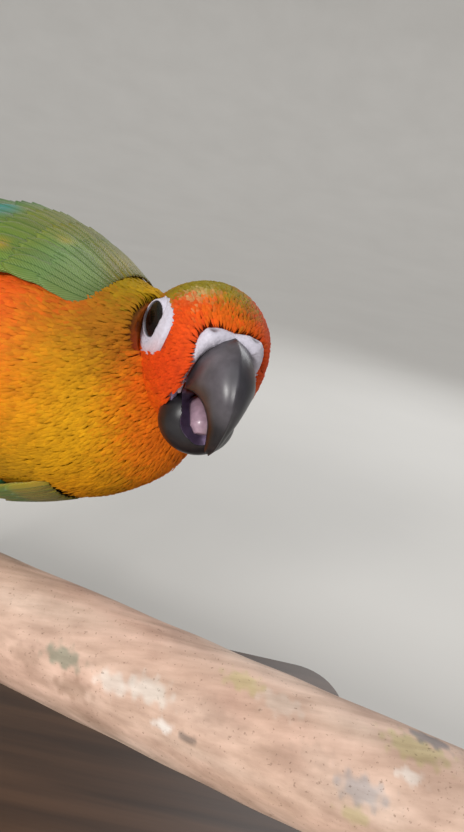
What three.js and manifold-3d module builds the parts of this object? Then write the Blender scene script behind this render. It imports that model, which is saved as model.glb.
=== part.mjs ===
// A sun conure, a small parrot, as a still life-size model that grips a cut length of branch on a stand.
// Millimetres, +Z up. The origin is the centre of the stand's underside.
import * as THREE from "three";
import { mergeVertices } from "three/addons/utils/BufferGeometryUtils.js";
import Module from "manifold-3d";

const wasm = await Module();
wasm.setup();

const V = (x, y, z) => new THREE.Vector3(x, y, z);
const DEG = Math.PI / 180;
const mix = (a, b, t) => a + (b - a) * t;
const clamp = (x, low, high) => Math.min(high, Math.max(low, x));

// Driving dimensions
const GAP = 0.35;
const SMALLEST_STEP = 0.12;
const BODY_SIDES = 26;
const TORSO_STEPS = 14;
const NECK_STEPS = 6;
const HEAD_STEPS = 14;

// The body's centre line from the rump to the neck. Each station has its place, the yaw and pitch
// of the line, the roll of the section about it, and how far the skin lies from the line: up,
// down, far (towards the back, or the head's left) and near (towards the breast, or its right).
// The first two stations only guide the wing tips past the rump.
const BODY = [
  { at: [-131.8, 67.9, 87.5], yaw: -25.7, pitch: 18, roll: 47, up: 9.5, down: 9.5, far: 9, near: 6 },
  { at: [-110.3, 57.6, 95.3], yaw: -25.7, pitch: 16, roll: 47, up: 11.5, down: 11.5, far: 9.5, near: 7 },
  { at: [-93.2, 49.4, 99.4], yaw: -25.7, pitch: 12, roll: 46, up: 12, down: 12, far: 9, near: 8.5 },
  { at: [-84.1, 44.7, 100.9], yaw: -25.7, pitch: 9, roll: 45, up: 14.5, down: 14.5, far: 11, near: 11.5 },
  { at: [-70.8, 38.1, 102.6], yaw: -25.7, pitch: 7, roll: 43, up: 20, down: 20, far: 15.5, near: 16 },
  { at: [-54.6, 30.0, 104.2], yaw: -25.7, pitch: 6, roll: 38, up: 25, down: 25, far: 19, near: 20.5 },
  { at: [-36.4, 21.6, 106.0], yaw: -25.7, pitch: 6, roll: 27, up: 28, down: 28, far: 21.5, near: 25.5 },
  { at: [-19.1, 13.7, 107.9], yaw: -25.7, pitch: 7, roll: 14, up: 29, down: 29.5, far: 22.5, near: 28 },
  { at: [-4.9, 7.1, 110.0], yaw: -27, pitch: 8, roll: 6, up: 28.5, down: 31, far: 22, near: 27.5 },
  { at: [6.4, 3.2, 111.4], yaw: -30, pitch: 8, roll: 2, up: 25.5, down: 30.4, far: 20, near: 25 },
  { at: [14.9, 2.0, 112.6], yaw: -34, pitch: 9, roll: 0, up: 20, down: 28.4, far: 18, near: 22 },
  { at: [22.3, 2.0, 115.6], yaw: -42, pitch: 11, roll: 0, up: 15, down: 25.2, far: 15, near: 17 },
  { at: [28.2, 3.5, 119.2], yaw: -50, pitch: 12, roll: 0, up: 10, down: 19.5, far: 10, near: 9.5 },
];
// The head's line runs from the back of the skull to the root of the bill, a little below that root
// and to its right. Forward is the distance before the root, and the other sizes are as on the body.
const SKULL = [
  { forward: -36.5, up: 4.5, down: 4.5, far: 4.5, near: 4.5 },
  { forward: -33.5, up: 8.6, down: 9.5, far: 9, near: 9 },
  { forward: -29, up: 11.6, down: 13.5, far: 12, near: 12 },
  { forward: -23, up: 13.6, down: 17, far: 13.5, near: 13.8 },
  { forward: -17.5, up: 14.1, down: 19, far: 13.4, near: 14.2 },
  { forward: -12, up: 13.6, down: 18.5, far: 12.8, near: 13.4 },
  { forward: -7, up: 11.7, down: 16.4, far: 11.4, near: 11.8 },
  { forward: -3, up: 8.4, down: 12.5, far: 9.4, near: 9.6 },
  { forward: -0.5, up: 4.5, down: 9, far: 7, near: 7 },
];
const SKULL_DROP = 2;
const SKULL_SHIFT = -0.7;
const RUMP_S = 2;
const NECK_S = 9.8;
const SEAM_S = 0.03;

const HEAD = { at: [37.1, -14.6, 126.4], yaw: -71.5, pitch: 8.7, roll: -5 };
const EYE = { forward: -17, side: 9.5, up: 0.9, radius: 5.1, facing: 74 };
const LID = { radius: 4.7, thickness: 0.8, out: 2.9 };
const WRIST_S = 9;

const PERCH = { at: [40, -26.7, 54.7], yaw: -17.6, radius: 12.5, left: -128, right: 69 };
const BASE = { length: 190, width: 120, height: 10, corner: 14, bevel: 1.2 };
const ROD = { radius: 3, along: [-111, 46] };

// Half of the tail, from the middle pair outwards: each feather's length grows shorter
const TAIL = { pitch: 22, roll: 46, width: 12.5, thick: 0.8, tilt: 12 };
const TAIL_LENGTHS = [131, 122, 112, 101, 90, 78];
const TAIL_ROOT = { behind: [-1, 6, 16, 30], taper: 0.2, half: 9, thick: 5 };
const WING_ROOT = { length: 70, thick: 4, low: -45, lowEnd: 0, high: 66, highEnd: 60, lift: 0.6, edge: 0.7 };

// The rows of wing feathers. Each gives how many feathers it has and, for the lowest and then the
// highest of them, where the root and the tip lie and how wide it is. A place is the distance behind
// the bend of the wing (mm) and the angle from the bird's side towards its back (degrees).
// Rise is how far the root and the tip stand off the body.
const WING_ROWS = [
  { count: 6, steps: 4, root: [[40, -20], [50, 8]], tip: [[149, 38], [106, 66]],
    wide: [9, 13], rise: [1, 1.3] },
  { count: 5, steps: 3, root: [[40, -10], [54, 46]], tip: [[104, 16], [90, 60]],
    wide: [14, 15], rise: [1.2, 2.5] },
  { count: 2, steps: 2, root: [[36, 50], [28, 60]], tip: [[90, 62], [72, 74]],
    wide: [13, 13], rise: [1.5, 3.4] },
  { count: 6, steps: 2, root: [[26, -24], [40, 46]], tip: [[68, -14], [62, 54]],
    wide: [12, 12], rise: [1.8, 3.8] },
  { count: 2, steps: 2, root: [[8, -42], [12, -36]], tip: [[40, -42], [33, -32]],
    wide: [6, 6.5], rise: [2, 3.6] },
  { count: 5, steps: 2, root: [[14, -30], [26, 48]], tip: [[44, -30], [41, 54]],
    wide: [14, 14], rise: [2.2, 5.2] },
  { count: 5, steps: 2, root: [[2, -30], [8, 42]], tip: [[26, -34], [24, 50]],
    wide: [13, 13], rise: [1.4, 6] },
];
const WING_VANE = { thick: 0.65, tilt: 9 };
const TAIL_COVERTS = [
  { count: 4, spread: 7, rise: 4.2, length: [38, 28], width: 10 },
  { count: 3, spread: 6, rise: -4, length: [44, 34], width: 10 },
];
const LEFT_WING = { rise: 4, back: 9 };

// Colours, roughness and metalness of each finish
const FINISH = {
  yellow: { color: 0xe8a613, roughness: 0.85, metalness: 0 },
  orange: { color: 0xe0561c, roughness: 0.85, metalness: 0 },
  green: { color: 0x5d7f2a, roughness: 0.8, metalness: 0 },
  horn: { color: 0x35323a, roughness: 0.35, metalness: 0 },
  flesh: { color: 0xd8c3c4, roughness: 0.6, metalness: 0 },
  tongue: { color: 0xb58fa0, roughness: 0.5, metalness: 0 },
  eye: { color: 0x0c0a0a, roughness: 0.08, metalness: 0 },
  foot: { color: 0x6d625e, roughness: 0.7, metalness: 0 },
  claw: { color: 0x2b2724, roughness: 0.4, metalness: 0 },
  wood: { color: 0xc79c7e, roughness: 0.8, metalness: 0 },
  base: { color: 0x4a3527, roughness: 0.5, metalness: 0 },
  steel: { color: 0xb9bcc0, roughness: 0.3, metalness: 1 },
};

// Solids

// A closed mesh from a stack of rings with the same number of points, its ends capped flat.
function stackGeometry(rings) {
  const sides = rings[0].length;
  const points = rings.flat();
  const centre = (ring) => ring.reduce((sum, p) => sum.add(p), V(0, 0, 0)).divideScalar(sides);
  points.push(centre(rings[0]), centre(rings[rings.length - 1]));
  const first = points.length - 2;
  const last = points.length - 1;
  const index = [];
  for (let i = 0; i < rings.length - 1; i++)
    for (let j = 0; j < sides; j++) {
      const a = i * sides + j;
      const b = i * sides + ((j + 1) % sides);
      index.push(a, b, a + sides, b, b + sides, a + sides);
    }
  const top = (rings.length - 1) * sides;
  for (let j = 0; j < sides; j++) {
    const k = (j + 1) % sides;
    index.push(first, k, j, last, top + j, top + k);
  }
  return indexedGeometry(points, index);
}

// A closed mesh of a bent strip: its rings have four or six points, and its ends are capped alike.
function stripGeometry(rings) {
  const sides = rings[0].length;
  const index = [];
  for (let i = 0; i < rings.length - 1; i++)
    for (let j = 0; j < sides; j++) {
      const a = i * sides + j;
      const b = i * sides + ((j + 1) % sides);
      // The two wide faces are split along the same diagonal, so that a twisted strip stays closed.
      if (j < sides / 2) index.push(a, b, a + sides, b, b + sides, a + sides);
      else index.push(a, b, b + sides, a, b + sides, a + sides);
    }
  const top = (rings.length - 1) * sides;
  for (let j = 1; j < sides - 1; j++) index.push(0, j + 1, j, top, top + j, top + j + 1);
  return indexedGeometry(rings.flat(), index);
}

function indexedGeometry(points, index) {
  const geometry = new THREE.BufferGeometry();
  geometry.setAttribute("position", new THREE.Float32BufferAttribute(points.flatMap((p) => p.toArray()), 3));
  geometry.setIndex(index);
  return geometry;
}

function volumeOf(geometry) {
  const p = geometry.attributes.position;
  const index = geometry.index.array;
  const corners = [V(0, 0, 0), V(0, 0, 0), V(0, 0, 0)];
  let sum = 0;
  for (let i = 0; i < index.length; i += 3) {
    corners.forEach((c, k) => c.fromBufferAttribute(p, index[i + k]));
    sum += corners[0].dot(corners[1].clone().cross(corners[2])) / 6;
  }
  return sum;
}

// A manifold solid from a closed geometry, turned to face outwards.
function solid(geometry) {
  const plain = new THREE.BufferGeometry().setAttribute("position", geometry.getAttribute("position"));
  if (geometry.index) plain.setIndex(geometry.index);
  const merged = mergeVertices(plain, 1e-4);
  const triangles = Array.from(merged.index.array);
  if (volumeOf(merged) < 0)
    for (let i = 0; i < triangles.length; i += 3)
      [triangles[i + 1], triangles[i + 2]] = [triangles[i + 2], triangles[i + 1]];
  const mesh = new wasm.Mesh({
    numProp: 3,
    vertProperties: new Float32Array(merged.attributes.position.array),
    triVerts: new Uint32Array(triangles),
  });
  return new wasm.Manifold(mesh);
}

const fuse = (solids) => solids.reduce((sum, part) => sum.add(part));
const carve = (body, tools) => tools.reduce((rest, tool) => rest.subtract(tool), body);

// The one closed surface that holds most of the volume.
function largest(body) {
  const pieces = body.decompose();
  return pieces.reduce((best, piece) => (piece.volume() > best.volume() ? piece : best));
}

const group = new THREE.Group();

function node(name, body, finish) {
  const mesh = largest(largest(body).simplify(SMALLEST_STEP)).getMesh();
  const count = mesh.vertProperties.length / mesh.numProp;
  const points = [];
  for (let i = 0; i < count; i++) {
    const at = i * mesh.numProp;
    points.push(V(...mesh.vertProperties.slice(at, at + 3)));
  }
  const geometry = indexedGeometry(points, Array.from(mesh.triVerts));
  geometry.computeVertexNormals();
  const piece = new THREE.Mesh(geometry, new THREE.MeshStandardMaterial(FINISH[finish]));
  piece.name = name;
  group.add(piece);
}

// Frames

// Forward, left and up of something that faces yaw and pitch (degrees) and is rolled about that line.
function axes({ yaw, pitch, roll }) {
  const level = Math.cos(pitch * DEG);
  const forward = V(Math.cos(yaw * DEG) * level, Math.sin(yaw * DEG) * level, Math.sin(pitch * DEG));
  const left = V(0, 0, 1).cross(forward).normalize();
  const up = forward.clone().cross(left);
  const turn = (v) => v.applyAxisAngle(forward, roll * DEG);
  return { forward, left: turn(left), up: turn(up) };
}

const blend = (...terms) => terms.reduce((sum, [v, k]) => sum.addScaledVector(v, k), V(0, 0, 0));

// The body's skin

const KEYS = ["yaw", "pitch", "roll", "up", "down", "far", "near"];

function catmull(p0, p1, p2, p3, t) {
  const a = 2 * p1;
  const b = p2 - p0;
  const c = 2 * p0 - 5 * p1 + 4 * p2 - p3;
  const d = 3 * p1 - p0 - 3 * p2 + p3;
  return 0.5 * (a + b * t + c * t * t + d * t * t * t);
}

function station(s, rows = BODY) {
  const i = clamp(Math.floor(s), 0, rows.length - 2);
  const t = s - i;
  const row = (k) => rows[clamp(i + k, 0, rows.length - 1)];
  const smooth = (get) => catmull(get(row(-1)), get(row(0)), get(row(1)), get(row(2)), t);
  const result = { at: V(...[0, 1, 2].map((k) => smooth((r) => r.at[k]))) };
  for (const key of KEYS) result[key] = smooth((r) => r[key]);
  const { forward, left, up } = axes(result);
  return { ...result, forward, farAxis: left, upAxis: up };
}

// A point of the skin at s along the body and an angle (radians) from up towards far, lifted off it.
function skin(s, angle, lift = 0, rows = BODY) {
  const st = station(s, rows);
  const c = Math.cos(angle);
  const d = Math.sin(angle);
  const rise = (c > 0 ? st.up : st.down) + lift;
  const spread = (d > 0 ? st.far : st.near) + lift;
  return blend([st.at, 1], [st.upAxis, rise * c], [st.farAxis, spread * d]);
}

function loft(rows, from, to, steps, grow) {
  const rings = [];
  for (let i = 0; i <= steps; i++) {
    const s = mix(from, to, i / steps);
    const ring = [];
    for (let j = 0; j < BODY_SIDES; j++) ring.push(skin(s, (j / BODY_SIDES) * 2 * Math.PI, grow, rows));
    rings.push(ring);
  }
  return solid(stackGeometry(rings));
}

// Distances along the centre line, counted back from the bend of the wing
const ARC_STEP = 0.05;
const arc = [];
for (let s = WRIST_S, run = 0, last = station(WRIST_S).at; s >= 0; s -= ARC_STEP) {
  const at = station(s).at;
  run += at.distanceTo(last);
  arc.push({ s, run });
  last = at;
}

function stationBehindWrist(distance) {
  if (distance <= 0) return WRIST_S - distance / 9;
  const k = arc.findIndex((row) => row.run >= distance);
  if (k < 1) return k < 0 ? 0 : WRIST_S;
  const t = (distance - arc[k - 1].run) / (arc[k].run - arc[k - 1].run);
  return mix(arc[k - 1].s, arc[k].s, t);
}

// A place on a wing: distance back from its bend, and degrees from the bird's side towards its back.
function wingPoint(side, distance, angle, lift) {
  const turn = side > 0 ? angle * DEG : Math.PI - (angle + LEFT_WING.rise) * DEG;
  const back = side > 0 ? 0 : LEFT_WING.back;
  return skin(stationBehindWrist(distance + back), turn, lift);
}

// The head's own frame: forward, to its left and up from the top of the bill's root
const headAxes = axes(HEAD);
function headPoint(forward, left, up) {
  return blend([V(...HEAD.at), 1], [headAxes.forward, forward], [headAxes.left, left], [headAxes.up, up]);
}
const HEAD_ROWS = SKULL.map((row) => {
  const at = headPoint(row.forward, SKULL_SHIFT, -SKULL_DROP).toArray();
  return { ...HEAD, ...row, at };
});

const torsoRoom = loft(BODY, RUMP_S - SEAM_S, NECK_S, TORSO_STEPS, GAP);
const headForm = loft(HEAD_ROWS, 0, HEAD_ROWS.length - 1, HEAD_STEPS, 0);
const headRoom = loft(HEAD_ROWS, 0, HEAD_ROWS.length - 1, HEAD_STEPS, GAP);
const torso = carve(loft(BODY, RUMP_S, NECK_S - SEAM_S, TORSO_STEPS, 0), [headRoom]);
const neckRoom = loft(BODY, NECK_S - SEAM_S, BODY.length - 1, NECK_STEPS, GAP);

function ball(at, radius, widthSides = 18, heightSides = 12) {
  const geometry = new THREE.SphereGeometry(radius, widthSides, heightSides);
  geometry.translate(at.x, at.y, at.z);
  return solid(geometry);
}

// A ball stretched along the head's axes
function headBall([forward, left, up], [length, width, height], sides = 20) {
  const geometry = new THREE.SphereGeometry(1, sides, Math.round(sides * 0.7));
  const basis = new THREE.Matrix4().makeBasis(
    headAxes.forward.clone().multiplyScalar(length),
    headAxes.left.clone().multiplyScalar(width),
    headAxes.up.clone().multiplyScalar(height),
  );
  geometry.applyMatrix4(basis);
  const at = headPoint(forward, left, up);
  geometry.translate(at.x, at.y, at.z);
  return solid(geometry);
}

// A round tube through points with a radius at each, flat at its ends
function tube(points, radii, sides, steps) {
  const curve = new THREE.CatmullRomCurve3(points);
  const frames = curve.computeFrenetFrames(steps, false);
  const rings = [];
  for (let i = 0; i <= steps; i++) {
    const t = i / steps;
    const at = curve.getPoint(t);
    const k = Math.min(Math.floor(t * (radii.length - 1)), radii.length - 2);
    const radius = mix(radii[k], radii[k + 1], t * (radii.length - 1) - k);
    const ring = [];
    for (let j = 0; j < sides; j++) {
      const a = (j / sides) * 2 * Math.PI;
      const [n, b] = [frames.normals[i], frames.binormals[i]];
      ring.push(blend([at, 1], [n, Math.cos(a) * radius], [b, Math.sin(a) * radius]));
    }
    rings.push(ring);
  }
  return solid(stackGeometry(rings));
}

// Bill. The upper half is a fan of sections about a line through the corners of the mouth.
const BILL_HINGE = { forward: -3, up: -12 };
const BILL_SECTIONS = [
  { angle: 110, top: 12, edge: 2, half: 6.2 },
  { angle: 92, top: 13, edge: 1.4, half: 6.5 },
  { angle: 72, top: 13.6, edge: 1.2, half: 6.6 },
  { angle: 50, top: 13.8, edge: 1.6, half: 6.6 },
  { angle: 28, top: 13.7, edge: 2.8, half: 6.4 },
  { angle: 8, top: 13.5, edge: 5.2, half: 4.9 },
  { angle: -10, top: 12.9, edge: 7.2, half: 3.5 },
  { angle: -28, top: 12.2, edge: 8.4, half: 2.3 },
  { angle: -46, top: 11.9, edge: 9.4, half: 1.6 },
  { angle: -62, top: 11.5, edge: 10.5, half: 0.9 },
];
const BILL_ARC_SIDES = 10;
const BILL_PALATE_SIDES = 4;
const BILL_PALATE = { depth: 2.2, share: 0.35, width: 0.85 };

function upperBill(grow) {
  const rings = BILL_SECTIONS.map(({ angle, top, edge, half }) => {
    const high = top + grow;
    const low = Math.max(0.2, edge - grow);
    const wide = half + grow;
    const palate = Math.min(BILL_PALATE.depth, (high - low) * BILL_PALATE.share) - grow;
    const ring = [];
    const add = (reach, side) => {
      const forward = BILL_HINGE.forward + reach * Math.cos(angle * DEG);
      ring.push(headPoint(forward, side, BILL_HINGE.up + reach * Math.sin(angle * DEG)));
    };
    for (let i = 0; i <= BILL_ARC_SIDES; i++) {
      const a = (i / BILL_ARC_SIDES) * Math.PI;
      add(low + (high - low) * Math.sin(a), wide * Math.cos(a));
    }
    for (let i = 1; i < BILL_PALATE_SIDES; i++) {
      const a = (i / BILL_PALATE_SIDES) * Math.PI;
      add(low + Math.max(0, palate) * Math.sin(a), -wide * BILL_PALATE.width * Math.cos(a));
    }
    return ring;
  });
  return solid(stackGeometry(rings));
}

const LOWER_BILL = {
  centre: [-9.8, -0.5, -17.4],
  size: [6.4, 8.3, 7.4],
  hollowCentre: [-9.1, -0.5, -17.3],
  hollowSize: [5.6, 7.1, 6.2],
  notchCentre: [-6.5, -0.5, -13],
  notchSize: [8, 5.2, 9],
  rim: { forward: -5, up: -12.2, slope: -87 },
};

// Everything above the sloping rim of the lower half
function aboveRim() {
  const size = 60;
  const { forward, up, slope } = LOWER_BILL.rim;
  const box = new THREE.BoxGeometry(size, size, size);
  box.translate(0, 0, size / 2);
  box.rotateY(-slope * DEG);
  box.applyMatrix4(new THREE.Matrix4().makeBasis(headAxes.forward, headAxes.left, headAxes.up));
  const at = headPoint(forward, 0, up);
  box.translate(at.x, at.y, at.z);
  return solid(box);
}

const bigger = (size, grow) => size.map((v) => v + grow);
const billUpper = upperBill(0);
const billUpperRoom = upperBill(GAP);
const lowerOuter = headBall(LOWER_BILL.centre, LOWER_BILL.size, 14);
const lowerRoom = headBall(LOWER_BILL.centre, bigger(LOWER_BILL.size, GAP), 14);
const lowerHollow = headBall(LOWER_BILL.hollowCentre, LOWER_BILL.hollowSize, 12);
const lowerNotch = headBall(LOWER_BILL.notchCentre, LOWER_BILL.notchSize, 12);
const billLower = carve(lowerOuter, [lowerHollow, lowerNotch, aboveRim(), billUpperRoom]);

const TONGUE_PATH = [
  [-13, -0.3, -14.4],
  [-9.5, -0.5, -14.8],
  [-6.8, -0.6, -16],
  [-5.2, -0.6, -17.8],
  [-4.6, -0.6, -19.4],
];
const TONGUE_RADII = [2, 2.4, 2.4, 2.3, 1.4];

function tongueForm(grow) {
  const points = TONGUE_PATH.map((p) => headPoint(...p));
  return tube(points, TONGUE_RADII.map((r) => r + grow), 10, 8);
}
const tongue = carve(tongueForm(0), [billUpperRoom, carve(lowerRoom, [
  headBall(LOWER_BILL.hollowCentre, bigger(LOWER_BILL.hollowSize, -GAP), 12),
])]);

// Cere: the bare band round the root of the bill, with a nostril on each side
const CERE_SIDE = [[-5.6, 7, -12], [-3.9, 7.1, -8], [-2.1, 6.2, -3.6], [-0.9, 4.4, 0]];
const CERE_MIDDLE = [-0.5, 0, 0.6];
const CERE_RADII = [0.5, 0.65, 0.95, 2.1, 1.4, 2.1, 0.95, 0.65, 0.5];
const NOSTRIL = { at: [0.3, 4.3, 1.7], radius: 0.75 };

function cereForm(grow) {
  const right = CERE_SIDE.map(([f, l, u]) => headPoint(f, -l, u));
  const left = CERE_SIDE.map(([f, l, u]) => headPoint(f, l, u)).reverse();
  return tube([...right, headPoint(...CERE_MIDDLE), ...left], CERE_RADII.map((r) => r + grow), 8, 22);
}
const nostrils = [-1, 1].map((side) => {
  const [f, l, u] = NOSTRIL.at;
  return ball(headPoint(f, side * l, u), NOSTRIL.radius, 8, 6);
});
const cere = carve(cereForm(0), [billUpperRoom, lowerRoom, ...nostrils]);

// Eyes and the bare ring of skin with the lids round each
function eyeFrame(side) {
  const turn = EYE.facing * DEG;
  const out = blend([headAxes.forward, Math.cos(turn)], [headAxes.left, side * Math.sin(turn)]);
  return { centre: headPoint(EYE.forward, SKULL_SHIFT + side * EYE.side, EYE.up), out };
}

function lidRing(side, grow) {
  const { centre, out } = eyeFrame(side);
  const ring = new THREE.TorusGeometry(LID.radius, LID.thickness + grow, 6, 18);
  ring.applyQuaternion(new THREE.Quaternion().setFromUnitVectors(V(0, 0, 1), out));
  const at = blend([centre, 1], [out, LID.out]);
  ring.translate(at.x, at.y, at.z);
  return solid(ring);
}

const eyes = [-1, 1].map((side) => ball(eyeFrame(side).centre, EYE.radius, 14, 9));
const sockets = [-1, 1].map((side) => ball(eyeFrame(side).centre, EYE.radius + GAP, 14, 9));
const mouth = fuse([
  headBall([-4.5, 0, -12.5], [6.5, 7.6, 5.2], 10),
  headBall([-2.5, -0.4, -16.5], [7.6, 10.2, 8.4], 10),
]);
const lidRooms = [-1, 1].map((side) => lidRing(side, GAP));
const neckForm = loft(BODY, NECK_S + SEAM_S, BODY.length - 1, NECK_STEPS, 0);
const neck = carve(neckForm, [headRoom, ...lidRooms, ...sockets]);
const head = carve(fuse([headForm, lidRing(-1, 0), lidRing(1, 0)]), [
  upperBill(1.3 * GAP),
  lowerRoom,
  mouth,
  cereForm(GAP),
  tongueForm(GAP),
  ...sockets,
]);

// Perch and stand
const perchAxes = axes({ yaw: PERCH.yaw, pitch: 0, roll: 0 });

// A point at a distance along the perch, an angle (degrees) from its top towards the back, and a radius
function perchPoint(along, angle, radius) {
  return blend(
    [V(...PERCH.at), 1],
    [perchAxes.forward, along],
    [perchAxes.up, radius * Math.cos(angle * DEG)],
    [perchAxes.left, radius * Math.sin(angle * DEG)],
  );
}

function perchSolid() {
  const sides = 24;
  const bevel = 0.8;
  const ends = [
    [PERCH.left, PERCH.radius - bevel],
    [PERCH.left + bevel, PERCH.radius],
    [PERCH.right - bevel, PERCH.radius],
    [PERCH.right, PERCH.radius - bevel],
  ];
  const rings = ends.map(([along, radius]) =>
    Array.from({ length: sides }, (_, j) => perchPoint(along, (j * 360) / sides, radius)),
  );
  return solid(stackGeometry(rings));
}

function baseSolid() {
  const { length, width, height, corner, bevel } = BASE;
  const x = length / 2 - bevel;
  const y = width / 2 - bevel;
  const outline = new THREE.Shape();
  outline.moveTo(-x + corner, -y);
  outline.lineTo(x - corner, -y);
  outline.absarc(x - corner, -y + corner, corner, -Math.PI / 2, 0);
  outline.lineTo(x, y - corner);
  outline.absarc(x - corner, y - corner, corner, 0, Math.PI / 2);
  outline.lineTo(-x + corner, y);
  outline.absarc(-x + corner, y - corner, corner, Math.PI / 2, Math.PI);
  outline.lineTo(-x, -y + corner);
  outline.absarc(-x + corner, -y + corner, corner, Math.PI, 1.5 * Math.PI);
  const slab = new THREE.ExtrudeGeometry(outline, {
    depth: height - 2 * bevel,
    bevelEnabled: true,
    bevelThickness: bevel,
    bevelSize: bevel,
    bevelSegments: 1,
    curveSegments: 5,
  });
  slab.translate(0, 0, bevel);
  return solid(slab);
}

function rodSolid(along) {
  const top = perchPoint(along, 180, PERCH.radius);
  const low = BASE.height + GAP;
  const high = top.z - GAP;
  const rod = new THREE.CylinderGeometry(ROD.radius, ROD.radius, high - low, 16);
  rod.rotateX(Math.PI / 2);
  rod.translate(top.x, top.y, (low + high) / 2);
  return solid(rod);
}

// Legs: a feathered thigh, then a scaly foot with two toes before the perch and two behind it
const SIDES = [
  { name: "right", side: 1, along: -84, hip: { s: 5.5, angle: -66 } },
  { name: "left", side: -1, along: -106, hip: { s: 4.9, angle: -110 } },
];
const FOOT = { stance: 30, clear: 0.35, toeRadius: 2.1, arch: 0.6, ankleOut: 11, ankleBack: 6 };
const TOE_RADII = [2.2, 2.1, 1.9, 1.9, 1.5];
const TOES = [
  { name: "1", sweep: 42, splay: 3.6, behind: 1 },
  { name: "2", sweep: 60, splay: 4.6, behind: -1 },
  { name: "3", sweep: 82, splay: -3.4, behind: -1 },
  { name: "4", sweep: 74, splay: -4.4, behind: 1 },
];
const CLAW = { start: 3.5, sweep: 30, arch: 1.6, radii: [1.35, 1.15, 0.8, 0.3] };
const SHANK_RADII = [2.8, 2.2, 2.7];
const THIGH = { sunk: 9, radii: [10, 7.6, 3.6], short: 0.12 };
const ANKLE_ROOM = 3.4;

function toePath(leg, toe) {
  const steps = TOE_RADII.length - 1;
  return TOE_RADII.map((_, i) => {
    const t = i / steps;
    const reach = PERCH.radius + FOOT.clear + FOOT.toeRadius + FOOT.arch * Math.sin(t * Math.PI);
    const along = leg.along + leg.side * toe.splay * t ** 0.7;
    return perchPoint(along, FOOT.stance + toe.behind * t * toe.sweep, reach);
  });
}

function clawSolid(leg, toe) {
  const steps = CLAW.radii.length - 1;
  const points = CLAW.radii.map((radius, i) => {
    const t = i / steps;
    const angle = toe.sweep + CLAW.start + t * CLAW.sweep;
    const reach = PERCH.radius + FOOT.clear + radius + CLAW.arch * Math.sin(t * Math.PI);
    return perchPoint(leg.along + leg.side * toe.splay, FOOT.stance + toe.behind * angle, reach);
  });
  return tube(points, CLAW.radii, 6, 4);
}

function ankle(leg) {
  return perchPoint(leg.along - FOOT.ankleBack, FOOT.stance + 4, PERCH.radius + FOOT.ankleOut);
}

function footSolid(leg) {
  const toes = TOES.map((toe) => tube(toePath(leg, toe), TOE_RADII, 7, 5));
  const sole = perchPoint(leg.along, FOOT.stance, PERCH.radius + FOOT.clear + FOOT.toeRadius + FOOT.arch);
  const shank = tube([sole, sole.clone().lerp(ankle(leg), 0.5), ankle(leg)], SHANK_RADII, 8, 4);
  return fuse([...toes, shank]);
}

function thighSolid(leg) {
  const root = skin(leg.hip.s, leg.hip.angle * DEG, -THIGH.sunk);
  const end = ankle(leg);
  const points = [root, root.clone().lerp(end, 0.5), end.clone().lerp(root, THIGH.short)];
  return tube(points, THIGH.radii, 14, 8);
}

// Feathers

// How wide a feather is at t along it, as a share of its full width
function vaneShape(t) {
  const base = Math.min(1, 0.45 + 2 * t);
  const tip = t < 0.7 ? 1 : Math.sqrt(Math.max(0, 1 - 0.93 * ((t - 0.7) / 0.3) ** 2));
  return base * tip;
}

// One ring of a flat vane, round a point of its shaft
function vaneRing(at, across, out, half, thick) {
  const corner = (a, b) => blend([at, 1], [across, a * half], [out, (b * thick) / 2]);
  return [corner(-1, 1), corner(1, 1), corner(1, -1), corner(-1, -1)];
}

function wingVane(side, row, t) {
  const place = (pair, k) => mix(pair[0][k], pair[1][k], t);
  const width = mix(row.wide[0], row.wide[1], t);
  const rings = [];
  for (let i = 0; i <= row.steps; i++) {
    const u = i / row.steps;
    const distance = mix(place(row.root, 0), place(row.tip, 0), u);
    const angle = mix(place(row.root, 1), place(row.tip, 1), u);
    const lift = mix(row.rise[0], row.rise[1], u);
    const at = wingPoint(side, distance, angle, lift);
    const across = wingPoint(side, distance, angle + 1, lift).sub(at).normalize();
    const away = wingPoint(side, distance, angle, lift + 1).sub(at);
    const out = away.addScaledVector(across, -away.dot(across)).normalize();
    const turned = blend([across, Math.cos(WING_VANE.tilt * DEG)], [out, Math.sin(WING_VANE.tilt * DEG)]);
    const normal = blend([out, Math.cos(WING_VANE.tilt * DEG)], [across, -Math.sin(WING_VANE.tilt * DEG)]);
    rings.push(vaneRing(at, turned, normal, (width / 2) * vaneShape(u), WING_VANE.thick));
  }
  return solid(stripGeometry(rings));
}

// The fleshy arm that the rows of feathers grow from
function wingRoot(side) {
  const along = 6;
  const across = 7;
  const top = [];
  const under = [];
  for (let i = 0; i <= along; i++) {
    const t = i / along;
    const distance = mix(0.5, WING_ROOT.length, t);
    const low = mix(WING_ROOT.low, WING_ROOT.lowEnd, t ** 1.5);
    const high = mix(WING_ROOT.high, WING_ROOT.highEnd, t);
    const hump = Math.sqrt(Math.min(1, 8 * t)) * (1 - t);
    for (let j = 0; j <= across; j++) {
      const u = j / across;
      const thick = WING_ROOT.edge + WING_ROOT.thick * hump * Math.sin(Math.PI * u) ** 0.6;
      const angle = mix(low, high, u);
      top.push(wingPoint(side, distance, angle, WING_ROOT.lift + thick));
      under.push(wingPoint(side, distance, angle, WING_ROOT.lift));
    }
  }
  return solid(sheetGeometry(top, under, along, across));
}

function wingSolid(side) {
  const vanes = WING_ROWS.flatMap((row) =>
    Array.from({ length: row.count }, (_, i) => wingVane(side, row, i / (row.count - 1))),
  );
  return fuse([wingRoot(side), ...vanes]);
}

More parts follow.
